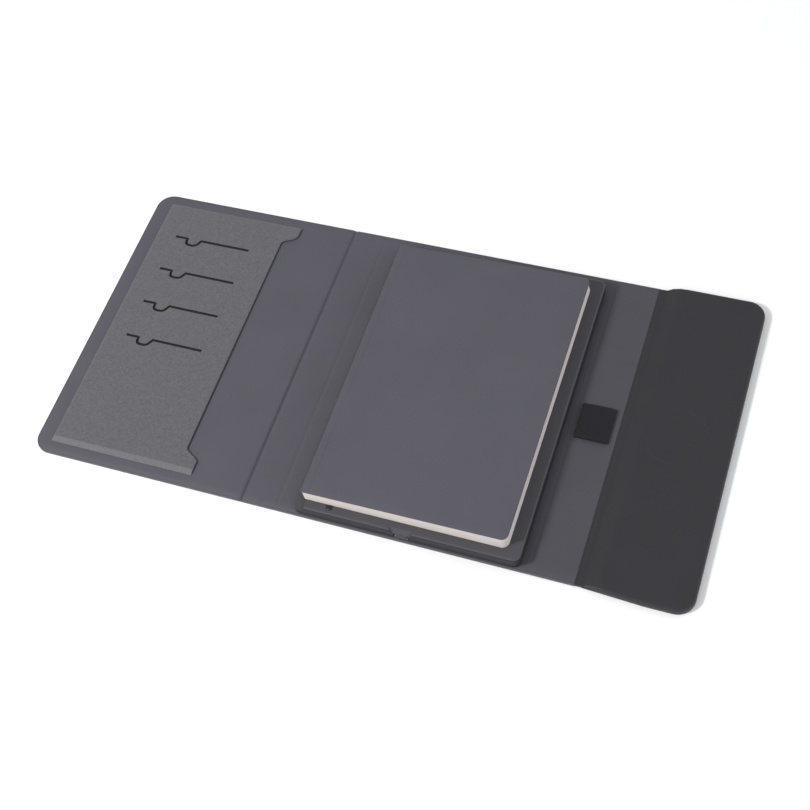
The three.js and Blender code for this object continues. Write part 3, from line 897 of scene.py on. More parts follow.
@dataclass(frozen=True)
class SoftLeather:
    """Fine-grained artificial leather.

    Attributes:
        name: The material's name.
        colour: Its linear colour.
        roughness: Its middle roughness.
        grain_mm: The size of its grain.
        depth_mm: The depth of its grain.
        mottling: How much its colour varies.
        specular: The shader's specular level.
    """

    name: str
    colour: Triple
    roughness: float = 0.6
    grain_mm: float = 0.55
    depth_mm: float = 0.02
    mottling: float = 0.05
    specular: float = 0.35

    def material(self) -> Material:
        """Builds the material.

        Returns:
            The new material.
        """
        bench = NodeBench(self.name, self.colour, self.roughness)
        bench.shader.inputs["Specular IOR Level"].default_value = self.specular
        cloud, fine = bench.noise(38.0, 3.0), bench.noise(0.8, 2.0)
        dark, light = shade(self.colour, 1 - self.mottling), shade(self.colour, 1 + self.mottling)
        broad = bench.mix(bench.spread(cloud, 0.0, 1.0), dark, light)
        bench.colour(bench.mix(bench.spread(fine, 0.0, 0.35), broad, shade(self.colour, 0.86)))
        bench.roughness(bench.spread(cloud, self.roughness - 0.04, self.roughness + 0.05))
        bench.bump((bench.cells(self.grain_mm), self.depth_mm), (bench.noise(7.0, 2.0), 0.03))
        return bench.made


@dataclass(frozen=True)
class PressedFelt:
    """Pressed felt of mixed fibres.

    Attributes:
        name: The material's name.
        colour: Its linear colour.
        fleck: How much lighter and darker its fibres are.
    """

    name: str
    colour: Triple
    fleck: float = 0.3

    def material(self) -> Material:
        """Builds the material.

        Returns:
            The new material.
        """
        bench = NodeBench(self.name, self.colour, 0.95)
        bench.shader.inputs["Specular IOR Level"].default_value = 0.15
        bench.shader.inputs["Sheen Weight"].default_value = 0.12
        bench.shader.inputs["Sheen Roughness"].default_value = 0.6
        across = bench.noise(0.9, 4.0, 0.7, bench.stretched((0.35, 1.0, 1.0), 25.0))
        along_way = bench.noise(0.9, 4.0, 0.7, bench.stretched((1.0, 0.35, 1.0), -20.0))
        cloud = bench.noise(6.0, 4.0, 0.6)
        dark, light = shade(self.colour, 1 - self.fleck), shade(self.colour, 1 + self.fleck)
        first = bench.mix(bench.spread(across, 0.0, 1.0, 0.32, 0.68), dark, light)
        second = bench.mix(bench.spread(along_way, 0.0, 1.0, 0.32, 0.68), dark, light)
        fibres = bench.mix(0.5, first, second)
        bench.colour(bench.mix(bench.spread(cloud, 0.0, 0.3), fibres, shade(self.colour, 0.8)))
        bench.bump((across, 0.08), (along_way, 0.08), (cloud, 0.1))
        return bench.made


@dataclass(frozen=True)
class Webbing:
    """Woven elastic: ribs along its length and fine threads across.

    Attributes:
        name: The material's name.
        colour: Its linear colour.
        rib_mm: The distance from rib to rib.
    """

    name: str
    colour: Triple
    rib_mm: float = 1.0

    def material(self) -> Material:
        """Builds the material.

        Returns:
            The new material.
        """
        bench = NodeBench(self.name, self.colour, 0.85)
        bench.shader.inputs["Specular IOR Level"].default_value = 0.2
        bench.shader.inputs["Sheen Weight"].default_value = 0.08
        ribs, threads = bench.lines(self.rib_mm, "Y", 0.3), bench.lines(0.42, "X", 0.8)
        dark, light = shade(self.colour, 0.6), shade(self.colour, 1.5)
        woven = bench.mix(bench.spread(threads, 0.0, 1.0, 0.1, 0.9), dark, light)
        bench.colour(bench.mix(bench.spread(ribs, 0.35, 0.0, 0.1, 0.8), woven, shade(self.colour, 0.4)))
        bench.bump((ribs, 0.06), (threads, 0.06))
        return bench.made


@dataclass(frozen=True)
class PageEdges:
    """The cut edges of a stack of cream pages.

    Attributes:
        name: The material's name.
        colour: Its linear colour.
        page_mm: The apparent thickness of a sheet.
    """

    name: str
    colour: Triple
    page_mm: float = 0.22

    def material(self) -> Material:
        """Builds the material.

        Returns:
            The new material.
        """
        bench = NodeBench(self.name, self.colour, 0.9)
        bench.shader.inputs["Specular IOR Level"].default_value = 0.2
        flat = bench.stretched((0.02, 0.02, 1.0))
        sheets = bench.noise(self.page_mm, 3.0, 0.8, flat)
        wide = bench.noise(1.4, 2.0, 0.6, flat)
        stack = bench.mix(bench.spread(sheets, 0.0, 1.0), shade(self.colour, 0.8), shade(self.colour, 1.06))
        bench.colour(bench.mix(bench.spread(wide, 0.0, 0.45), stack, shade(self.colour, 0.86)))
        bench.bump((sheets, 0.05))
        return bench.made


@dataclass(frozen=True)
class Moulded:
    """Moulded plastic or a coated part with a fine texture.

    Attributes:
        name: The material's name.
        colour: Its linear colour.
        roughness: Its middle roughness.
        texture_mm: The size of its texture.
        depth_mm: The depth of its texture.
        metallic: The shader's metallic value.
    """

    name: str
    colour: Triple
    roughness: float = 0.5
    texture_mm: float = 0.4
    depth_mm: float = 0.008
    metallic: float = 0.0

    def material(self) -> Material:
        """Builds the material.

        Returns:
            The new material.
        """
        bench = NodeBench(self.name, self.colour, self.roughness, self.metallic)
        fine, cloud = bench.noise(self.texture_mm, 2.0), bench.noise(12.0, 3.0)
        dark, light = shade(self.colour, 0.92), shade(self.colour, 1.08)
        bench.colour(bench.mix(bench.spread(cloud, 0.0, 1.0), dark, light))
        bench.roughness(bench.spread(fine, self.roughness - 0.06, self.roughness + 0.08))
        bench.bump((fine, self.depth_mm))
        return bench.made


@dataclass(frozen=True)
class DrawnMetal:
    """Metal with fine lines from its making.

    Attributes:
        name: The material's name.
        colour: Its linear colour.
        roughness: Its middle roughness.
        stretch: How the lines run: a scale on each axis, small along the lines.
    """

    name: str
    colour: Triple
    roughness: float = 0.28
    stretch: Triple = (0.05, 1.0, 1.0)

    def material(self) -> Material:
        """Builds the material.

        Returns:
            The new material.
        """
        bench = NodeBench(self.name, self.colour, self.roughness, 1.0)
        grain = bench.noise(0.25, 3.0, 0.6, bench.stretched(self.stretch))
        dark, light = shade(self.colour, 0.85), shade(self.colour, 1.05)
        bench.colour(bench.mix(bench.spread(grain, 0.0, 1.0), dark, light))
        bench.roughness(bench.spread(grain, self.roughness - 0.05, self.roughness + 0.12))
        bench.bump((grain, 0.004))
        return bench.made


@dataclass(frozen=True)
class GreyBoard:
    """Bookbinder's board: pulp with dark and light specks.

    Attributes:
        name: The material's name.
        colour: Its linear colour.
    """

    name: str
    colour: Triple

    def material(self) -> Material:
        """Builds the material.

        Returns:
            The new material.
        """
        bench = NodeBench(self.name, self.colour, 0.92)
        pulp, specks = bench.noise(2.5, 4.0, 0.7), bench.noise(0.6, 2.0)
        base = bench.mix(bench.spread(pulp, 0.0, 1.0), shade(self.colour, 0.85), shade(self.colour, 1.12))
        bench.colour(bench.mix(bench.spread(specks, 0.0, 0.6, 0.6, 0.75), base, shade(self.colour, 0.5)))
        bench.bump((pulp, 0.05))
        return bench.made


@dataclass(frozen=True)
class PlainFloor:
    """A pale seamless floor.

    Attributes:
        name: The material's name.
        colour: Its linear colour.
    """

    name: str
    colour: Triple

    def material(self) -> Material:
        """Builds the material.

        Returns:
            The new material.
        """
        bench = NodeBench(self.name, self.colour, 0.9)
        bench.shader.inputs["Specular IOR Level"].default_value = 0.1
        cloud = bench.noise(400.0, 2.0)
        dark, light = shade(self.colour, 0.99), shade(self.colour, 1.01)
        bench.colour(bench.mix(bench.spread(cloud, 0.0, 1.0), dark, light))
        return bench.made


LEATHER_GREY = tone(80, 79, 87)
# A darker copy of the folio leather for the gusset's lining: painted shade where the light falls off towards the
# right.
LEATHER_GUSSET_PAINTED_SHADE = tone(72, 71, 78)
# A darker copy of the folio leather for the power-bank slab: painted shade.
LEATHER_SLAB_PAINTED_SHADE = tone(69, 68, 74)
# A much darker copy of the slab leather for the slab's walls: painted shade on faces that turn away from up.
SLAB_WALL_PAINTED_SHADE = tone(38, 37, 42)
LEATHER_BLACK = tone(47, 46, 50)

FINISHES: dict[str, object] = {
    "leather": SoftLeather("slate_leather", LEATHER_GREY),
    # Painted shade: the gusset lining takes a darker copy of the folio leather.
    "gusset_leather": SoftLeather("slate_gusset_painted_shade", LEATHER_GUSSET_PAINTED_SHADE),
    # Painted shade over the whole slab.
    "slab_painted_shade": SoftLeather("slate_slab_painted_shade", LEATHER_SLAB_PAINTED_SHADE),
    # Painted shade on the slab's front, back and right walls.
    "slab_wall_painted_shade": SoftLeather("slate_slab_wall_painted_shade", SLAB_WALL_PAINTED_SHADE, specular=0.25),
    "black_leather": SoftLeather("black_smooth_leather", LEATHER_BLACK, 0.52, 0.4, 0.012, 0.04, 0.3),
    "felt": PressedFelt("heather_felt", tone(92, 92, 96)),
    # A lighter copy of the felt: painted highlight on the pocket's front slope.
    "felt_painted_highlight": PressedFelt("felt_front_painted_highlight", tone(106, 106, 110), 0.2),
    "board": GreyBoard("grey_board", tone(139, 135, 128)),
    "elastic": Webbing("black_elastic", tone(32, 31, 36)),
    "shell_plastic": Moulded("black_shell_plastic", tone(26, 26, 28), 0.5),
    "pouch": Moulded("pouch_foil", tone(185, 188, 192), 0.32, 1.2, 0.03, 0.9),
    "circuit": Moulded("green_solder_resist", tone(31, 90, 60), 0.45, 0.9, 0.01),
    "component": Moulded("component_resin", tone(27, 27, 29), 0.45, 0.3),
    "steel": DrawnMetal("nickel_steel", tone(200, 202, 206)),
    "copper": DrawnMetal("coil_copper", tone(184, 115, 58), 0.3, (1.0, 1.0, 0.05)),
    "ferrite": Moulded("sintered_ferrite", tone(53, 55, 59), 0.75, 0.3, 0.01),
    "paper": PageEdges("cream_pages", tone(201, 193, 188)),
    # The liner cloth's tone is darkened below its own so that the card slots show painted shade.
    "liner": Webbing("card_liner_cloth_and_slot_shade", tone(36, 36, 40), 0.7),
    "button_plastic": Moulded("button_plastic", tone(28, 28, 31), 0.42, 0.3),
    "ribbon_cable": Moulded("ribbon_film", tone(201, 141, 60), 0.35, 1.0, 0.004),
}


class Wardrobe:
    """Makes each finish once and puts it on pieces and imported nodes."""

    def __init__(self) -> None:
        """Starts with no materials made."""
        self.made: dict[str, Material] = {}

    def material(self, slot: str) -> Material:
        """Gives a slot's material, made the first time it is asked for."""
        if slot not in self.made:
            self.made[slot] = FINISHES[slot].material()
        return self.made[slot]

    def dress(self, piece: Piece, slot: str) -> Piece:
        """Puts a slot's finish on a new piece.

        Args:
            piece: The piece.
            slot: The record's slot.

        Returns:
            The same piece.
        """
        piece.data.materials.clear()
        piece.data.materials.append(self.material(slot))
        return piece

    def dress_packed_nodes(self) -> None:
        """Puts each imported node's own finish on it."""
        for row in frame["record"]["subparts"]:
            node = frame["nodes"][row["node"]]
            for place in node.material_slots:
                place.material = self.material(row["material_slot"])


def report(piece: Piece) -> None:
    """Logs a finished piece with its size."""
    size = " x ".join(f"{length / MM:.1f}" for length in piece.dimensions)
    LOG.info("%s: %d faces, %s mm", piece.name, len(piece.data.polygons), size)


def settle(piece: Piece, wardrobe: Wardrobe, slot: str, body: str, *nodes: str) -> None:
    """Dresses a piece, puts it on its body and hides what it stands for.

    Args:
        piece: The piece.
        wardrobe: Where its finish comes from.
        slot: The record's slot.
        body: The body that it moves with.
        *nodes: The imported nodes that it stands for.
    """
    wardrobe.dress(piece, slot)
    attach(piece, body)
    if nodes:
        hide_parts(*nodes)
    report(piece)


# ---- sub-assemblies --------------------------------------------------------------------


@dataclass(frozen=True)
class Fold:
    """A fold across the folio.

    Attributes:
        joint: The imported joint's name.
        depth: How far the lining dips.
        reach: How wide the dip is.
    """

    joint: str
    depth: float
    reach: float

    @property
    def place(self) -> float:
        """The fold's X in millimetres."""
        return float(joint_mm(self.joint)[0])


@dataclass
class FolioLeather:
    """The outer leather and the lining, each in three stretches, with a dip along each fold."""

    folds: tuple[Fold, ...] = (
        Fold("front_cover_hinge", 1.15, 1.15),
        Fold("spine_hinge", 0.15, 1.2),
        Fold("gusset_hinge", 0.12, 1.4),
    )
    skin: float = 0.7
    top: float = 2.4
    lining_bottom: float = 1.9
    edge_round: float = 0.7
    rim: float = 0.88
    lining_inset: float = 0.93
    corner: float = 12.0
    fold_gap: float = 1.5
    outside_dip: float = 0.22
    outside_reach: float = 1.3
    lip_drop: float = 0.06
    lip_step: float = 0.12
    past_last_fold: float = 30.0

    def _dip(
        self, x: np.ndarray, depth: Optional[float] = None, reach: Optional[float] = None
    ) -> np.ndarray:
        """Gives how far a face dips at each X.

        Args:
            x: Values of X in millimetres.
            depth: The dip's depth, or None for each fold's own.
            reach: The dip's reach, or None for each fold's own.

        Returns:
            The depths.
        """
        total = np.zeros(np.shape(x))
        for fold in self.folds:
            total += (depth or fold.depth) * np.exp(-(((x - fold.place) / (reach or fold.reach)) ** 2))
        return total

    def _stations(self) -> list[float]:
        """Gives the values of X that follow each fold's dip."""
        offsets = (-3.2, -2.5, -2.0, -1.6, -1.3, -1.0, -0.75, -0.5, -0.25)
        marks = [*offsets, 0.0, *(-offset for offset in offsets)]
        return [fold.place + mark for fold in self.folds for mark in marks]

    def _cuts(self) -> list[tuple[Optional[float], Optional[float]]]:
        """Gives where each stretch starts and ends.

        Returns:
            The cuts.
        """
        cover, spine, gusset = (fold.place for fold in self.folds)
        first, second = (cover + spine) / 2, (spine + gusset) / 2
        end = float(joint_mm("flap_hinge")[0]) - self.fold_gap
        return [(None, first), (first, second), (second, end)]

    def _outline(self, inset: float) -> Plan:
        """Draws the folio's outline past its last fold."""
        low, high = box_mm("cover_outer_skin")
        radius = self.corner - inset
        return rounded_rectangle(
            (low[0] + inset, low[1] + inset),
            (box_mm("flap_outer_skin")[1][0] - self.past_last_fold, high[1] - inset),
            (radius, 0, 0, radius),
            5.0,
            self._stations(),
            12,
        )

    def _outer(self) -> Piece:
        """Builds the outer leather: a sheet whose edges turn up and over the boards.

        Returns:
            The new piece.
        """
        crest: Height = lambda x, y: self.top - self.lip_drop - self._dip(x)
        lip = [Ring(r.inset, r.drop, crest) for r in round_over(self.edge_round, 5)]
        turned = [Ring(self.rim - self.lip_step, 0.0, crest), Ring(self.rim, self.lip_step, crest)]
        return Relief(
            "outer_leather_whole",
            self._outline(0.0),
            level(self.skin),
            lambda x, y: self._dip(x, self.outside_dip, self.outside_reach),
            [*lip, *turned, Ring(self.rim + 0.02, 0.0)],
            round_over(self.edge_round - 0.2, 4),
            step=7.0,
            stations=self._stations(),
        ).piece()

    def _lining(self) -> Piece:
        """Builds the lining: a thin sheet glued inside the turned edge."""
        sag: Height = lambda x, y: 0.035 * np.sin(x / 23.0 + 0.8) * np.sin(y / 31.0 + 0.3)
        return Relief(
            "lining_whole",
            self._outline(self.lining_inset),
            lambda x, y: self.top - self._dip(x) + sag(x, y),
            lambda x, y: self.lining_bottom - self._dip(x),
            [Ring(0.0, 0.2), Ring(0.06, 0.08), Ring(0.2, 0.0)],
            [Ring(0.0, 0.0), Ring(0.15, 0.0)],
            step=5.0,
            stations=self._stations(),
        ).piece()

    def build(self, wardrobe: Wardrobe) -> None:
        """Builds the stretches by cutting the whole outer leather and lining.

        Args:
            wardrobe: Where the finishes come from.
        """
        outer, lining = self._outer(), self._lining()
        pairs = (("front_cover", "spine"), ("spine", "base"), ("base", "gusset"))
        stands_for = (
            (("cover_outer_skin",), ("cover_lining", "cover_fold")),
            (("spine_outer_skin", "base_outer_skin"), ("spine_lining", "base_lining", "spine_fold")),
            (("gusset_outer_skin",), ("gusset_lining", "gusset_fold")),
        )
        names = ("cover", "spine_and_base", "gusset")
        for name, fold, cut, bodies, nodes in zip(names, self.folds, self._cuts(), pairs, stands_for):
            axis = joint_mm(fold.joint)
            # The gusset's lining takes the darker copy of the leather: painted shade.
            slots = ("leather", "gusset_leather" if name == "gusset" else "leather")
            for whole, kind, slot, stood in zip((outer, lining), ("outer_leather", "lining"), slots, nodes):
                piece = cut_between(whole, f"{name}_{kind}", *cut)
                wardrobe.dress(piece, slot)
                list(bodies)
                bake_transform(piece)
                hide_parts(*stood)
                report(piece)
        for whole in (outer, lining):
            bpy.data.objects.remove(whole)


@dataclass
class DocumentPocket:
    """The felt pocket on the front cover: a thumb tab at each end of its open edge, and four card slots."""

    felt: float = 0.55
    rise: float = 0.82
    bevel: float = 2.1
    front_bevel: float = 4.0
    rim_top: float = 3.0
    tab_reach: float = 10.5
    slot_x: tuple[float, float] = (15.6, 75.1)
    notch_x: tuple[float, float] = (25.3, 36.7)
    dip: float = 5.4
    width: float = 2.1
    first_slot: float = 93.8
    pitch: float = 30.2
    count: int = 4

    def _corners(self) -> tuple[float, float, float, float, float]:
        """Gives the pocket's left, tab and open edges, and its front and back."""
        low, high = box_mm("document_pocket")
        return low[0], high[0], high[0] - self.tab_reach, low[1], high[1]

    def _outline(self) -> Plan:
        """Draws the pocket's outline.

        Returns:
            The outline.
        """
        x0, tab, x1, y0, y1 = self._corners()
        parts = [np.array([(x0, y0), (tab, y0), (tab, y0 + 10)])]
        parts.append(bezier((tab, y0 + 10), (tab, y0 + 13), (x1, y0 + 15.5), (x1, y0 + 19), 10))
        parts.append(np.array([(x1, y1 - 17.5)]))
        turn = (tab - 3, y1 - 11.5)
        parts.append(bezier((x1, y1 - 17.5), (x1 + 0.5, y1 - 13.5), (x1 + 4, y1 - 13.5), turn, 10))
        parts.append(bezier(turn, (tab - 1, y1 - 10.2), (tab, y1 - 8.5), (tab, y1 - 6.9), 6))
        parts.append(np.array([(tab, y1), (x0, y1)]))
        return even_line(np.concatenate(parts), 2.2, closed=True)

    def _slot_line(self, y: float) -> Plan:
        """Draws one card slot's line: a short straight, a thumb notch, then a long straight.

        Args:
            y: The slot's Y.

        Returns:
            The line.
        """
        x0 = self._corners()[0]
        start, end = (x0 + x for x in self.slot_x)
        into, out_of = (x0 + x for x in self.notch_x)
        low = y - self.dip
        parts = [np.array([(start, y), (into, y), (into + 0.2, y - self.dip * 0.5)])]
        deepest, rise = (into + 4.8, low), (out_of - 1.1, y - 1.9)
        parts.append(bezier(parts[0][-1], (into + 0.4, low + 0.5), (into + 2.2, low), deepest, 7))
        parts.append(bezier(deepest, (into + 7.6, low), (out_of - 2.4, low + 0.6), rise, 7))
        parts.append(np.array([(out_of, y), (end, y)]))
        return even_line(np.concatenate(parts), 1.6)

    def _top(self, x: np.ndarray, y: np.ndarray) -> np.ndarray:
        """Gives the felt's upper face: low along its glued edges, and a little uneven between them.

        Args:
            x: Values of X in millimetres.
            y: Values of Y in millimetres.

        Returns:
            The heights.
        """
        x0, _, _, y0, y1 = self._corners()
        edge = np.minimum(np.minimum(x - x0, (y - y0) * self.bevel / self.front_bevel), y1 - y)
        swell = 0.05 * np.sin(x / 17.0 + 1.0) * np.sin(y / 26.0)
        ripple = 0.03 * np.sin(x / 7.0) * np.sin(y / 9.0 + 2)
        return self.rim_top + smooth(edge / self.bevel) * (self.rise + (swell + ripple))

    def build(self, wardrobe: Wardrobe) -> None:
        """Builds the pocket.

        Args:
            wardrobe: Where the finishes come from.
        """
        x0, tab, _, y0, y1 = self._corners()
        lines = [self._slot_line(y0 + self.first_slot + k * self.pitch) for k in range(self.count)]
        slots = [band_outline(line, self.width) for line in lines]
        near = (0.5, 0.9, 1.3, 1.7, 2.1, 2.6)
        felt = Relief(
            "felt_document_pocket",
            self._outline(),
            self._top,
            lambda x, y: self._top(x, y) - self.felt,
            [Ring(0.0, 0.18), Ring(0.08, 0.05), Ring(0.22, 0.0)],
            [Ring(0.0, 0.0), Ring(0.15, 0.0)],
            slots,
            step=2.0,
            stations=[x0 + d for d in near],
            rows=[*(y0 + 2 * d for d in near), *(y1 - d for d in near)],
        ).piece(40)
        settle(felt, wardrobe, "felt", "front_cover", "document_pocket")
        # Faces within front_bevel of the front edge take the lighter felt: a painted highlight along the front
        # slope.
        felt.data.materials.append(wardrobe.material("felt_painted_highlight"))
        for face in felt.data.polygons:
            y = face.center.y / MM
            face.material_index = int(y - y0 < self.front_bevel)


@dataclass
class PowerBankSlab:
    """The leather over the power bank, and the pocket on top that holds the notebook's back cover."""

    corner: float = 5.0
    wall: float = 0.7
    left_round: float = 1.5
    top_round: float = 1.7
    pocket_bottom: float = 10.03
    pocket_plate: float = 0.6
    pocket_clear: tuple[float, float] = (1.5, 1.0)
    window: Triple = (5.2, 2.9, 8.6)
    window_corner: float = 0.9
    scoop_back: float = 2.6
    scoop_foot: float = 8.4
    scoop_half: tuple[float, float] = (5.3, 7.0)
    button_hole: float = 2.2
    painted_shade_slope: float = 0.66
    port_margin: float = 1.0

    @property
    def _port(self) -> float:
        """The charging port's X in millimetres."""
        return sum(corner[0] for corner in box_mm("usb_c_shell")) / 2

    def _scoop(self, front: float, top: float) -> Piece:
        """Builds the wedge that is cut away over the charging port.

        Args:
            front: The slab's front, in Y.
            top: The slab's top, in Z.

        Returns:
            The new piece.
        """
        middle = self._port
        foot, back = self.scoop_foot, front + self.scoop_back
        low, wide = self.scoop_half
        rise = (top + 1 - foot) / (top - foot)
        shell = Shell()
        rows = []
        for near, far in ((middle - low, middle - wide * rise), (middle + low, middle + wide * rise)):
            corners = [
                (near, front, foot),
                (near, front - 2, foot),
                (far, front - 2, top + 1),
                (far, front + (back - front) * rise, top + 1),
            ]
            rows.append(shell.add(corners))
        shell.bridge(rows[0], rows[1])
        shell.faces += [tuple(rows[0][::-1]), tuple(rows[1])]
        return shell.piece("scoop")

    def _button_hole(self, low: float, high: float) -> Piece:
        """Builds the cutter for the power button's hole."""
        foot, head = box_mm("power_button")
        centre = ((foot + head) / 2)[:2]
        return prism(circle(centre, self.button_hole, 32), low, high)

    def _wrap(self) -> Piece:
        """Builds the leather over the power bank's case.

        Returns:
            The new piece.
        """
        low, high = box_mm("power_bank_wrap")
        rounding = self.left_round

        def top(x: np.ndarray, y: np.ndarray) -> np.ndarray:
            """Falls away towards the left end."""
            reach = np.clip(rounding - (x - low[0]), 0, rounding)
            return high[2] - rounding + np.sqrt(np.maximum(rounding**2 - reach**2, 0))

        near = [low[0] + rounding * (1 - math.cos(math.pi / 2 * k / 6)) for k in range(1, 7)]
        case = Relief(
            "power_bank_leather",
            rounded_rectangle(low, high, [self.corner] * 4, 8.0, near),
            top,
            level(low[2]),
            [Ring(0.0, 0.04), Ring(0.04, 0.0)],
            [Ring(0.0, 0.3), Ring(0.1, 0.08), Ring(0.3, 0.0)],
            step=4.0,
            stations=near,
        ).piece()
        inner = rounded_rectangle(
            low[:2] + self.wall, high[:2] - self.wall, [self.corner - self.wall] * 4, 20.0
        )
        half, foot, head = self.window
        port = rounded_rectangle(
            (self._port - half, foot), (self._port + half, head), [self.window_corner] * 4, 10.0
        )
        return carve(
            case,
            prism(inner, 0.0, high[2] - self.wall - 0.02),
            prism(port, low[1] - 2, low[1] + self.wall + 0.05, "xzy"),
            self._scoop(low[1], box_mm("notebook_sleeve")[1][2]),
            self._button_hole(5.0, 14.0),
        )

    def _pocket(self) -> Piece:
        """Builds the pocket that the notebook's back cover slides into.

        Returns:
            The new piece.
        """
        low, high = box_mm("notebook_sleeve")
        page_low, page_high = box_mm("notebook_back_cover")
        top = Relief(
            "notebook_pocket_leather",
            rounded_rectangle(low, high, [0, self.corner, self.corner, 0], 5.0),
            lambda x, y: high[2] + 0.03 * np.sin(x / 19.0) * np.sin(y / 27.0),
            level(self.pocket_bottom),
            round_over(self.top_round, 5),
            [Ring(0.0, 0.04), Ring(0.04, 0.0)],
            step=7.0,
        ).piece()
        past, beside = self.pocket_clear
        hollow = rounded_rectangle(
            (low[0] - 2, page_low[1] - beside), (page_high[0] + past, page_high[1] + beside), [0.5] * 4, 30.0
        )
        return carve(
            top,
            prism(hollow, 9.0, high[2] - self.pocket_plate),
            self._scoop(low[1], high[2]),
            self._button_hole(9.0, 14.0),
        )

    def _takes_painted_shade(self, face: bpy.types.MeshPolygon, middle: float) -> bool:
        """Tells whether a face is on the front, back or right wall, which is given the painted shade.

        Args:
            face: The face.
            middle: The port's X.

        Returns:
            Whether it is on a wall. The wedge over the port and the left end are not.
        """
        if abs(face.center.x / MM - middle) < self.scoop_half[1] + self.port_margin:
            return abs(face.normal.y) > 0.95
        return abs(face.normal.z) < self.painted_shade_slope and face.normal.x > -0.5

    def build(self, wardrobe: Wardrobe) -> None:
        """Builds the two leather pieces.

        Args:
            wardrobe: Where the finishes come from.
        """
        middle = self._port
        for piece, node in ((self._wrap(), "power_bank_wrap"), (self._pocket(), "notebook_sleeve")):
            settle(piece, wardrobe, "leather", "base", node)
            # The slab's leather is a darker copy of the folio leather: painted shade.
            piece.data.materials[0] = wardrobe.material("slab_painted_shade")
            piece.data.materials.append(wardrobe.material("slab_wall_painted_shade"))
            # Faces on the front, back and right walls take the darker copy: painted shade.
            for face in piece.data.polygons:
                face.material_index = int(self._takes_painted_shade(face, middle))


@dataclass
class ButtonAndPort:
    """The power button's cap and the contacts in the charging port."""

    cap_radius: float = 1.95
    dome: float = 0.28
    flange: float = 2.9
    flange_thick: float = 0.6
    stem: float = 1.4
    lid: float = 1.25
    contact: Triple = (0.26, 3.2, 0.05)
    contact_pitch: float = 0.5
    contacts: int = 12

    def _button(self) -> Piece:
        """Turns the button: a domed cap, a flange under the lid and a stem.

        Returns:
            The new piece.
        """
        low, high = box_mm("power_button")
        centre = ((low + high) / 2)[:2]
        flange_top = box_mm("power_bank_upper_shell")[1][2] - self.lid
        edge = high[2] - self.dome
        dome = [
            (self.cap_radius * math.sin(a), edge - 0.15 + (self.dome + 0.15) * math.cos(a))
            for a in (math.radians(d) for d in (82, 70, 58, 46, 34, 22, 11))
        ]
        profile = [
            (0.0, low[2]),
            (self.stem, low[2]),
            (self.stem, flange_top - self.flange_thick),
            (self.flange, flange_top - self.flange_thick),
            (self.flange, flange_top),
            (self.cap_radius, flange_top),
            (self.cap_radius, edge - 0.2),
            *dome,
            (0.0, high[2]),
        ]
        return lathe("power_button_cap", centre, profile)

    def _contacts(self) -> Piece:
        """Builds the row of gold contacts on the tongue.

        Returns:
            The new piece.
        """
        low, high = box_mm("usb_c_tongue")
        width, length, thick = self.contact
        middle = (low[0] + high[0]) / 2
        shell = Shell()
        for k in range(self.contacts):
            x = middle + (k - (self.contacts - 1) / 2) * self.contact_pitch
            front = low[1] + 0.4
            corners = (x - width / 2, front), (x + width / 2, front + length)
            plan = rounded_rectangle(*corners, [0.1] * 4, 5.0, arc_points=3)
            foot = shell.add(np.column_stack([plan, np.full(len(plan), high[2] - 0.02)]))
            head = shell.add(np.column_stack([plan, np.full(len(plan), high[2] + thick)]))
            shell.bridge(foot, head)
            shell.faces += [tuple(foot[::-1]), tuple(head)]
        return shell.piece("port_contacts")

    def build(self, wardrobe: Wardrobe) -> None:
        """Builds the cap and the contacts."""
        settle(self._button(), wardrobe, "button_plastic", "power_button", "power_button")
        settle(self._contacts(), wardrobe, "copper", "base")


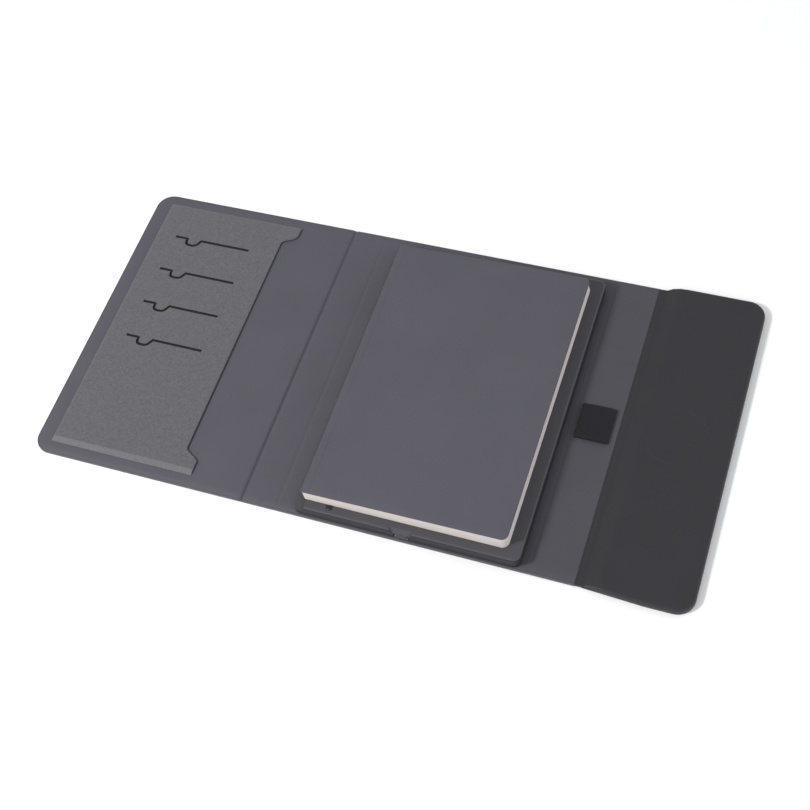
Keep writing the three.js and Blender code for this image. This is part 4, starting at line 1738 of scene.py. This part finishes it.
@dataclass
class PaperNotebook:
    """The notebook: cream pages, a soft cover pressed in along its crease and a spine strip."""

    corner: float = 4.6
    cover: float = 0.6
    page_rows: int = 24
    page_waver: float = 0.07
    page_gap: float = 0.1
    spine_lean: float = 1.4
    fore_lean: float = 0.8
    end_lean: float = 1.2
    crease_reach: float = 0.9
    seed: int = 11

    def _line(self) -> Height:
        """Gives the height function of the cover's lower face, which rises towards the fore-edge."""
        low, high = box_mm("notebook_front_cover")
        slope = (high[2] - self.cover - low[2]) / (high[0] - low[0])
        return lambda x, y: low[2] + slope * (x - low[0])

    def _pages(self) -> Piece:
        """Builds the page block, with its cut edges a little uneven.

        Returns:
            The new piece.
        """
        low, high = box_mm("page_block")
        line = self._line()
        random = np.random.default_rng(self.seed)
        wave = random.uniform(0, self.page_waver, self.page_rows)
        rows = [Ring(float(w), share=(k + 0.5) / self.page_rows) for k, w in enumerate(wave)]
        block = Relief(
            "cream_page_block",
            rounded_rectangle(low, high, [0.4, self.corner, self.corner, 0.4], 8.0, arc_points=10),
            lambda x, y: line(x, y) - self.page_gap,
            level(low[2]),
            [*rows, Ring(0.08, 0.02), Ring(0.2, 0.0)],
            [Ring(0.03, 0.03), Ring(0.15, 0.0)],
            step=14.0,
        ).piece(50)
        middle = (low[1] + high[1]) / 2
        for vertex in block.data.vertices:
            x, y, z = (value / MM for value in vertex.co)
            height = float(line(x, y)) - self.page_gap - low[2]
            depth = 1 - min(max((z - low[2]) / height, 0.0), 1.0)
            along_x = (x - low[0]) / (high[0] - low[0])
            vertex.co.x += depth * (self.spine_lean * (1 - along_x) + self.fore_lean * along_x) * MM
            vertex.co.y += self.end_lean * depth * (y - middle) / (high[1] - middle) * MM
        return block

    def _cover(self) -> Piece:
        """Builds the cover sheet, pressed in along its crease.

        Returns:
            The new piece.
        """
        low, high = box_mm("notebook_front_cover")
        spine_low, _ = box_mm("notebook_spine")
        crease = joint_mm("notebook_cover_hinge")[0]
        line = self._line()

        def pressed(x: np.ndarray) -> np.ndarray:
            """Gives the depth of the crease and of the fainter line beside it."""
            fold = 0.2 * np.exp(-(((x - crease) / 0.55) ** 2))
            return fold + 0.06 * np.exp(-(((x - crease - 3.4) / 0.6) ** 2))

        def top(x: np.ndarray, y: np.ndarray) -> np.ndarray:
            """Gives the sheet's upper face, a little uneven and pressed in."""
            return line(x, y) + self.cover - pressed(x) + 0.04 * np.sin(x / 29.0) * np.sin(y / 37.0 + 1)

        marks = [crease + 0.3 * k for k in range(-6, 16)]
        return Relief(
            "notebook_cover_sheet",
            rounded_rectangle(
                (spine_low[0], low[1]), high, [0.6, self.corner, self.corner, 0.6], 6.0, marks, 10
            ),
            top,
            lambda x, y: line(x, y) - 0.4 * pressed(x),
            [Ring(r.inset, r.drop) for r in round_over(0.28, 3)],
            [Ring(0.0, 0.04), Ring(0.05, 0.0)],
            step=6.0,
            stations=marks,
        ).piece(25)

    def _spine(self) -> Piece:
        """Builds the strip that closes the notebook's back.

        Returns:
            The new piece.
        """
        low, high = box_mm("notebook_spine")
        height = float(self._line()(low[0], 0.0)) + self.cover / 2
        wall, foot = self.cover, low[2]
        bow = [0.0, 0.05, 0.08, 0.05, 0.0]
        levels = np.linspace(foot, height, len(bow))
        leans = np.linspace(self.spine_lean / 2, 0.0, len(bow))
        outer = [(low[0] + lean + 0.08 - b, z) for lean, b, z in zip(leans, bow, levels)]
        inner = [(low[0] + lean + wall, z) for lean, z in zip(leans[::-1], levels[::-1])]
        section = np.array([*inner[::-1], *outer[::-1]])
        return sweep("notebook_spine_strip", section, np.linspace(low[1] + 0.3, high[1] - 0.3, 30))

    def build(self, wardrobe: Wardrobe) -> None:
        """Builds the three pieces.

        Args:
            wardrobe: Where the finishes come from.
        """
        settle(self._pages(), wardrobe, "paper", "notebook", "page_block")
        settle(self._spine(), wardrobe, "leather", "notebook", "notebook_spine")
        cover = self._cover()
        wardrobe.dress(cover, "leather")
        axis = joint_mm("notebook_cover_hinge")
        start, end = (tuple((axis + (side * self.crease_reach, 0, 0)) * MM) for side in (-1, 1))
        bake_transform(cover)
        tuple(start)
        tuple(end)
        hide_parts("notebook_front_cover")
        report(cover)


@dataclass
class ElasticPenLoop:
    """The elastic loop on the fore-edge strip, lying flat, with its stitches."""

    webbing: float = 0.85
    section_points: int = 56
    squareness: tuple[float, float] = (0.45, 0.6)
    row_step: float = 0.2
    hollow: float = 0.5
    crown: float = 0.3
    rib_pitch: float = 1.0
    rib_depth: float = 0.06
    selvedge: float = 1.6
    stitches: int = 7
    stitch_radius: float = 0.2
    stitch_length: float = 1.5

    def _section(self, inset: float, ribs: float) -> Plan:
        """Draws the loop's section in X and Z, drawn in by an inset.

        Args:
            inset: How far in from the outer face.
            ribs: How far the ribs stand out here.

        Returns:
            The section's points.
        """
        low, high = box_mm("pen_loop")
        half, middle = (high[0] - low[0]) / 2 - inset, (high[0] + low[0]) / 2
        height = (2 * self.webbing + self.hollow) / 2 - inset
        base = low[2] + height + inset
        along_x, along_z = self.squareness
        points = []
        for k in range(self.section_points):
            angle = 2 * math.pi * k / self.section_points
            cx, sz = math.cos(angle), math.sin(angle)
            x = half * math.copysign(abs(cx) ** along_x, cx)
            z = height * math.copysign(abs(sz) ** along_z, sz)
            lift = self.crown * max(1 - (x / half) ** 2, 0) * (1 if sz > 0 else 0)
            z += lift + ribs * math.copysign(min(abs(sz) * 2, 1), sz)
            points.append((middle + x, base + z))
        return np.array(points)

    def _loop(self) -> Piece:
        """Builds the webbing: a flat tube with ribs around it and thicker edges.

        Returns:
            The new piece.
        """
        low, high = box_mm("pen_loop")
        shell, outer, inner = Shell(), [], []
        for y in np.arange(low[1], high[1] + 0.01, self.row_step):
            edge = min(y - low[1], high[1] - y)
            ribs = self.rib_depth * math.cos(2 * math.pi * y / self.rib_pitch)
            if edge < self.selvedge:
                ribs = 0.1 * math.sqrt(max(1 - ((edge - 0.8) / 0.8) ** 2, 0)) - 0.04
            for rows, inset, wave in ((outer, 0.0, ribs), (inner, self.webbing, 0.0)):
                at = self._section(inset, wave)
                rows.append(shell.add(np.column_stack([at[:, 0], np.full(len(at), y), at[:, 1]])))
        for first, second in zip(outer, outer[1:]):
            shell.bridge(second, first)
        for first, second in zip(inner, inner[1:]):
            shell.bridge(first, second)
        shell.bridge(outer[0], inner[0])
        shell.bridge(inner[-1], outer[-1])
        return shell.piece("pen_loop_webbing", 50)

    def _stitches(self) -> Piece:
        """Builds the pale stitches beside the loop's sewn end.

        Returns:
            The new piece.
        """
        low, high = box_mm("pen_loop")
        top = box_mm("gusset_lining")[1][2]
        shell = Shell()
        for k in range(self.stitches):
            y = low[1] + 2.5 + (high[1] - low[1] - 5) * k / (self.stitches - 1)
            rows = []
            for t in np.linspace(-1, 1, 9):
                radius = self.stitch_radius * math.sqrt(max(1 - t**4, 0.02))
                ring = circle((0, 0), radius, 10)
                xs, zs = low[0] - 0.55 + ring[:, 0], top + 0.12 - 0.16 * t * t + ring[:, 1]
                ys = np.full(len(ring), y + t * self.stitch_length / 2)
                rows.append(shell.add(np.column_stack([xs, ys, zs])))
            for first, second in zip(rows, rows[1:]):
                shell.bridge(second, first)
            shell.faces += [tuple(rows[0]), tuple(rows[-1][::-1])]
        return shell.piece("pen_loop_stitches", 60)

    def build(self, wardrobe: Wardrobe) -> None:
        """Builds the loop and its stitches."""
        settle(self._loop(), wardrobe, "elastic", "gusset", "pen_loop")
        settle(self._stitches(), wardrobe, "felt", "gusset")


@dataclass
class ChargingFlap:
    """The black flap: outer leather, the charging face over it and the strip it folds on."""

    corner: float = 12.0
    front_flare: float = 39.0
    back_flare: float = 4.0
    ramp: float = 12.0
    foot: float = 2.5
    skin: float = 0.8
    seam: tuple[float, float] = (1.3, 2.55)
    wall: float = 1.1
    top_round: float = 1.7
    ring: tuple[float, float] = (19.8, 21.0)
    ring_depth: float = 0.18
    fold_gap: float = 1.5
    strip_top: float = 2.4
    strip_bottom: float = 0.1
    strip_past: float = 1.6

    def _pad(self) -> tuple[np.ndarray, np.ndarray]:
        """Gives the pad's box, which the outer skin's hinge tab isn't part of."""
        low, high = box_mm("charging_face")
        return low - (0.3, 0.3, 0), high + (0.3, 0.3, 0)

    def _outline(self, inset: float) -> Plan:
        """Draws the pad's outline, drawn in by an inset: as wide as the folio at the fold, then flared.

        Args:
            inset: How far in from the outline, in millimetres.

        Returns:
            The outline.
        """
        low, high = self._pad()
        narrow = box_mm("gusset_outer_skin")[1][1]
        stations = low[0] + np.arange(1.0, self.back_flare + 0.5)
        plan = rounded_rectangle(low, high, (0, self.corner, self.corner, 0), 5.0, stations, 12)
        flare = np.where(plan[:, 1] < 0, self.front_flare, self.back_flare)
        share = np.clip((plan[:, 0] - low[0]) / flare, 0, 1)
        reach = narrow + (high[1] - narrow) * share
        plan[:, 1] = np.clip(plan[:, 1], -reach, reach)
        return plan + inward(plan) * inset

    def _between(self, x: np.ndarray, start: float, end: float) -> np.ndarray:
        """Goes from one height at the fold to another where the ramp ends."""
        share = smooth((np.asarray(x) - self._pad()[0][0]) / self.ramp)
        return start + (end - start) * share

    def _face(self) -> Piece:
        """Builds the charging face, which wraps down over the pad's sides.

        Returns:
            The new piece.
        """
        _, high = self._pad()
        coil_low, coil_high = box_mm("charging_coil")
        centre = ((coil_low + coil_high) / 2)[:2]
        inner, outer = self.ring

        def top(x: np.ndarray, y: np.ndarray) -> np.ndarray:
            """Rises from the fold and stands level, with the alignment ring pressed in.

            Args:
                x: Values of X in millimetres.
                y: Values of Y in millimetres.

            Returns:
                The heights.
            """
            radius = np.hypot(x - centre[0], y - centre[1])
            middle, half = (inner + outer) / 2, (outer - inner) / 2
            pressed = smooth((half + 0.25 - np.abs(radius - middle)) / 0.4)
            waver = 0.02 * np.sin(x / 21.0) * np.sin(y / 25.0)
            return self._between(x, self.foot, high[2]) - self.ring_depth * pressed + waver

        within = [inner + gap for gap in (-0.5, -0.15, 0.1, 0.35)]
        radii = [*within, *(outer + gap for gap in (-0.35, -0.1, 0.15, 0.5))]
        face = Relief(
            "charging_face_leather",
            self._outline(0.0),
            top,
            lambda x, y: self._between(x, *self.seam) + 0.08,
            round_over(self.top_round, 6),
            [Ring(0.0, 0.12), Ring(0.12, 0.0), Ring(0.4, 0.0)],
            step=5.0,
            stations=self._pad()[0][0] + np.arange(1.0, self.ramp, 1.0),
            free=np.concatenate([circle(centre, radius, 120) for radius in radii]),
        ).piece()
        hollow = Relief(
            "hollow",
            self._outline(self.wall),
            lambda x, y: self._between(x, self.foot, high[2]) - self.skin,
            level(0.0),
            [Ring(0.0)],
            [Ring(0.0)],
            stations=self._pad()[0][0] + np.arange(1.0, self.ramp, 2.0),
        ).piece()
        return carve(face, hollow)

    def _skin(self) -> Piece:
        """Builds the outer leather: a tray under the pad."""
        skin = Relief(
            "flap_outer_leather",
            self._outline(0.0),
            lambda x, y: self._between(x, *self.seam),
            level(0.0),
            [Ring(0.0, 0.12), Ring(0.12, 0.0), Ring(0.4, 0.0)],
            round_over(0.9, 4),
            step=8.0,
            stations=self._pad()[0][0] + np.arange(1.0, self.ramp, 1.0),
        ).piece()
        return carve(skin, prism(self._outline(self.wall), self.skin, 8.0))

    def _fold_strip(self) -> Piece:
        """Builds the black leather that the flap turns on.

        Returns:
            The new piece.
        """
        low, high = box_mm("flap_fold")
        axis = joint_mm("flap_hinge")[0]
        pad = self._pad()[0][0]
        fold = along(axis - self.fold_gap, axis + self.fold_gap, 0.25)
        places = np.concatenate([fold, [pad - 0.4, pad + 1.4]])
        top = [(x, self.strip_top - 0.3 * math.exp(-(((x - axis) / 0.9) ** 2))) for x in places]
        bottom = [(x, self.strip_bottom + 0.12 * math.exp(-(((x - axis) / 1.0) ** 2))) for x in places]
        section = np.array([*bottom, *top[::-1]])
        ys = along(low[1] - self.strip_past, high[1] + self.strip_past, 6.0)
        return sweep("flap_fold_leather", section, ys)

    def build(self, wardrobe: Wardrobe) -> None:
        """Builds the three pieces.

        Args:
            wardrobe: Where the finishes come from.
        """
        settle(self._skin(), wardrobe, "black_leather", "flap", "flap_outer_skin")
        settle(self._face(), wardrobe, "black_leather", "flap", "charging_face")
        strip = wardrobe.dress(self._fold_strip(), "black_leather")
        axis = joint_mm("flap_hinge")
        start, end = (tuple((axis + (side * self.fold_gap, 0, 0)) * MM) for side in (-1, 1))
        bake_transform(strip)
        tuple(start)
        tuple(end)
        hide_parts("flap_fold")
        report(strip)


# ---- studio ----------------------------------------------------------------------------


@dataclass
class Studio:
    """The pale floor, the light and the camera."""

    camera_at: Triple = (0.25654, -0.44316, 0.79105)
    turn_degrees: float = 29.89
    height_degrees: float = 58.14
    roll_degrees: float = 13.34
    lens_mm: float = 61.15
    sensor_mm: float = 36.0
    key_from: Triple = (-1.107, -0.926, 1.382)
    key_distance: float = 2.0
    key_size: float = 0.32
    key_watts: float = 29.0
    key_colour: Triple = (1.0, 0.985, 0.96)
    sky_colour: Triple = (0.96, 0.975, 1.0)
    horizon: float = 0.8
    zenith: float = 0.6
    zenith_height: float = 0.7
    side: float = 2.4
    floor_shade: float = 0.95
    floor_half: float = 3000.0
    floor_height: float = -0.05

    def _camera(self) -> None:
        """Places the camera."""
        angles = (self.turn_degrees, self.height_degrees, self.roll_degrees)
        turn, lift, roll = (math.radians(angle) for angle in angles)
        back = Vector((math.sin(turn) * math.cos(lift), -math.cos(turn) * math.cos(lift), math.sin(lift)))
        right = Vector((math.cos(turn), math.sin(turn), 0.0))
        up = back.cross(right)
        level_x = right * math.cos(roll) - up * math.sin(roll)
        level_y = right * math.sin(roll) + up * math.cos(roll)
        data = bpy.data.cameras.new("camera")
        data.lens, data.sensor_width, data.clip_start = self.lens_mm, self.sensor_mm, 0.01
        camera = bpy.data.objects.new("camera", data)
        bpy.context.scene.collection.objects.link(camera)
        turned = Matrix((level_x, level_y, back)).transposed().to_4x4()
        camera.matrix_world = Matrix.Translation(self.camera_at) @ turned
        bpy.context.scene.camera = camera

    def _light(self) -> None:
        """Places the key light and sets the light from all round."""
        data = bpy.data.lights.new("key", "AREA")
        data.shape, data.size, data.energy = "DISK", self.key_size, self.key_watts
        data.color = self.key_colour
        key = bpy.data.objects.new("key", data)
        bpy.context.scene.collection.objects.link(key)
        towards = Vector(self.key_from).normalized()
        key.location = towards * self.key_distance
        key.rotation_euler = towards.to_track_quat("Z", "Y").to_euler()
        world = bpy.data.worlds.new("studio")
        world.use_nodes = True
        tree = world.node_tree
        sky = tree.nodes["Background"]
        sky.inputs["Color"].default_value = (*self.sky_colour, 1.0)
        split, fade = tree.nodes.new("ShaderNodeSeparateXYZ"), tree.nodes.new("ShaderNodeMapRange")
        tree.links.new(tree.nodes.new("ShaderNodeTexCoord").outputs["Generated"], split.inputs[0])
        tree.links.new(split.outputs["Z"], fade.inputs["Value"])
        ends = (("From Max", self.zenith_height), ("To Min", self.horizon), ("To Max", self.zenith))
        for name, value in ends:
            fade.inputs[name].default_value = value
        low = self._maths(tree, "SUBTRACT", 1.0, split.outputs["Z"])
        right = self._maths(tree, "MAXIMUM", split.outputs["X"], 0.0)
        glow = self._maths(tree, "MULTIPLY", right, self._maths(tree, "MULTIPLY", low, low))
        strength = self._maths(tree, "MULTIPLY_ADD", glow, self.side, fade.outputs["Result"])
        tree.links.new(strength, sky.inputs["Strength"])
        bpy.context.scene.world = world

    def _maths(self, tree: NodeTree, operation: str, *values: object) -> Socket:
        """Adds a sum to a node tree.

        Args:
            tree: The node tree.
            operation: The node's operation.
            *values: Numbers or sockets.

        Returns:
            The result's socket.
        """
        node = tree.nodes.new("ShaderNodeMath")
        node.operation = operation
        for socket, value in zip(node.inputs, values):
            if isinstance(value, Socket):
                tree.links.new(value, socket)
            else:
                socket.default_value = value
        return node.outputs[0]

    def _floor(self) -> None:
        """Lays the floor under the folio."""
        shell = Shell()
        half = self.floor_half
        corners = ((-half, -half), (half, -half), (half, half), (-half, half))
        shell.add([(x, y, self.floor_height) for x, y in corners])
        shell.faces.append((0, 1, 2, 3))
        floor = shell.piece("floor")
        floor.data.materials.append(PlainFloor("pale_floor", (self.floor_shade,) * 3).material())

    def build(self) -> None:
        """Sets up the studio."""
        self._camera()
        self._light()
        self._floor()
        bpy.context.scene.view_settings.view_transform = "Standard"
        LOG.info("studio: camera, key light and floor")


def main() -> None:
    """Builds the studio and every sub-assembly."""
    logging.basicConfig(level=logging.INFO, format="%(name)s: %(message)s")
    Studio().build()
    wardrobe = Wardrobe()
    wardrobe.dress_packed_nodes()
    for assembly in (
        FolioLeather(),
        DocumentPocket(),
        PowerBankSlab(),
        ButtonAndPort(),
        PaperNotebook(),
        ElasticPenLoop(),
        ChargingFlap(),
    ):
        assembly.build(wardrobe)
    bpy.context.view_layer.update()


if __name__ == "__main__":
    main()
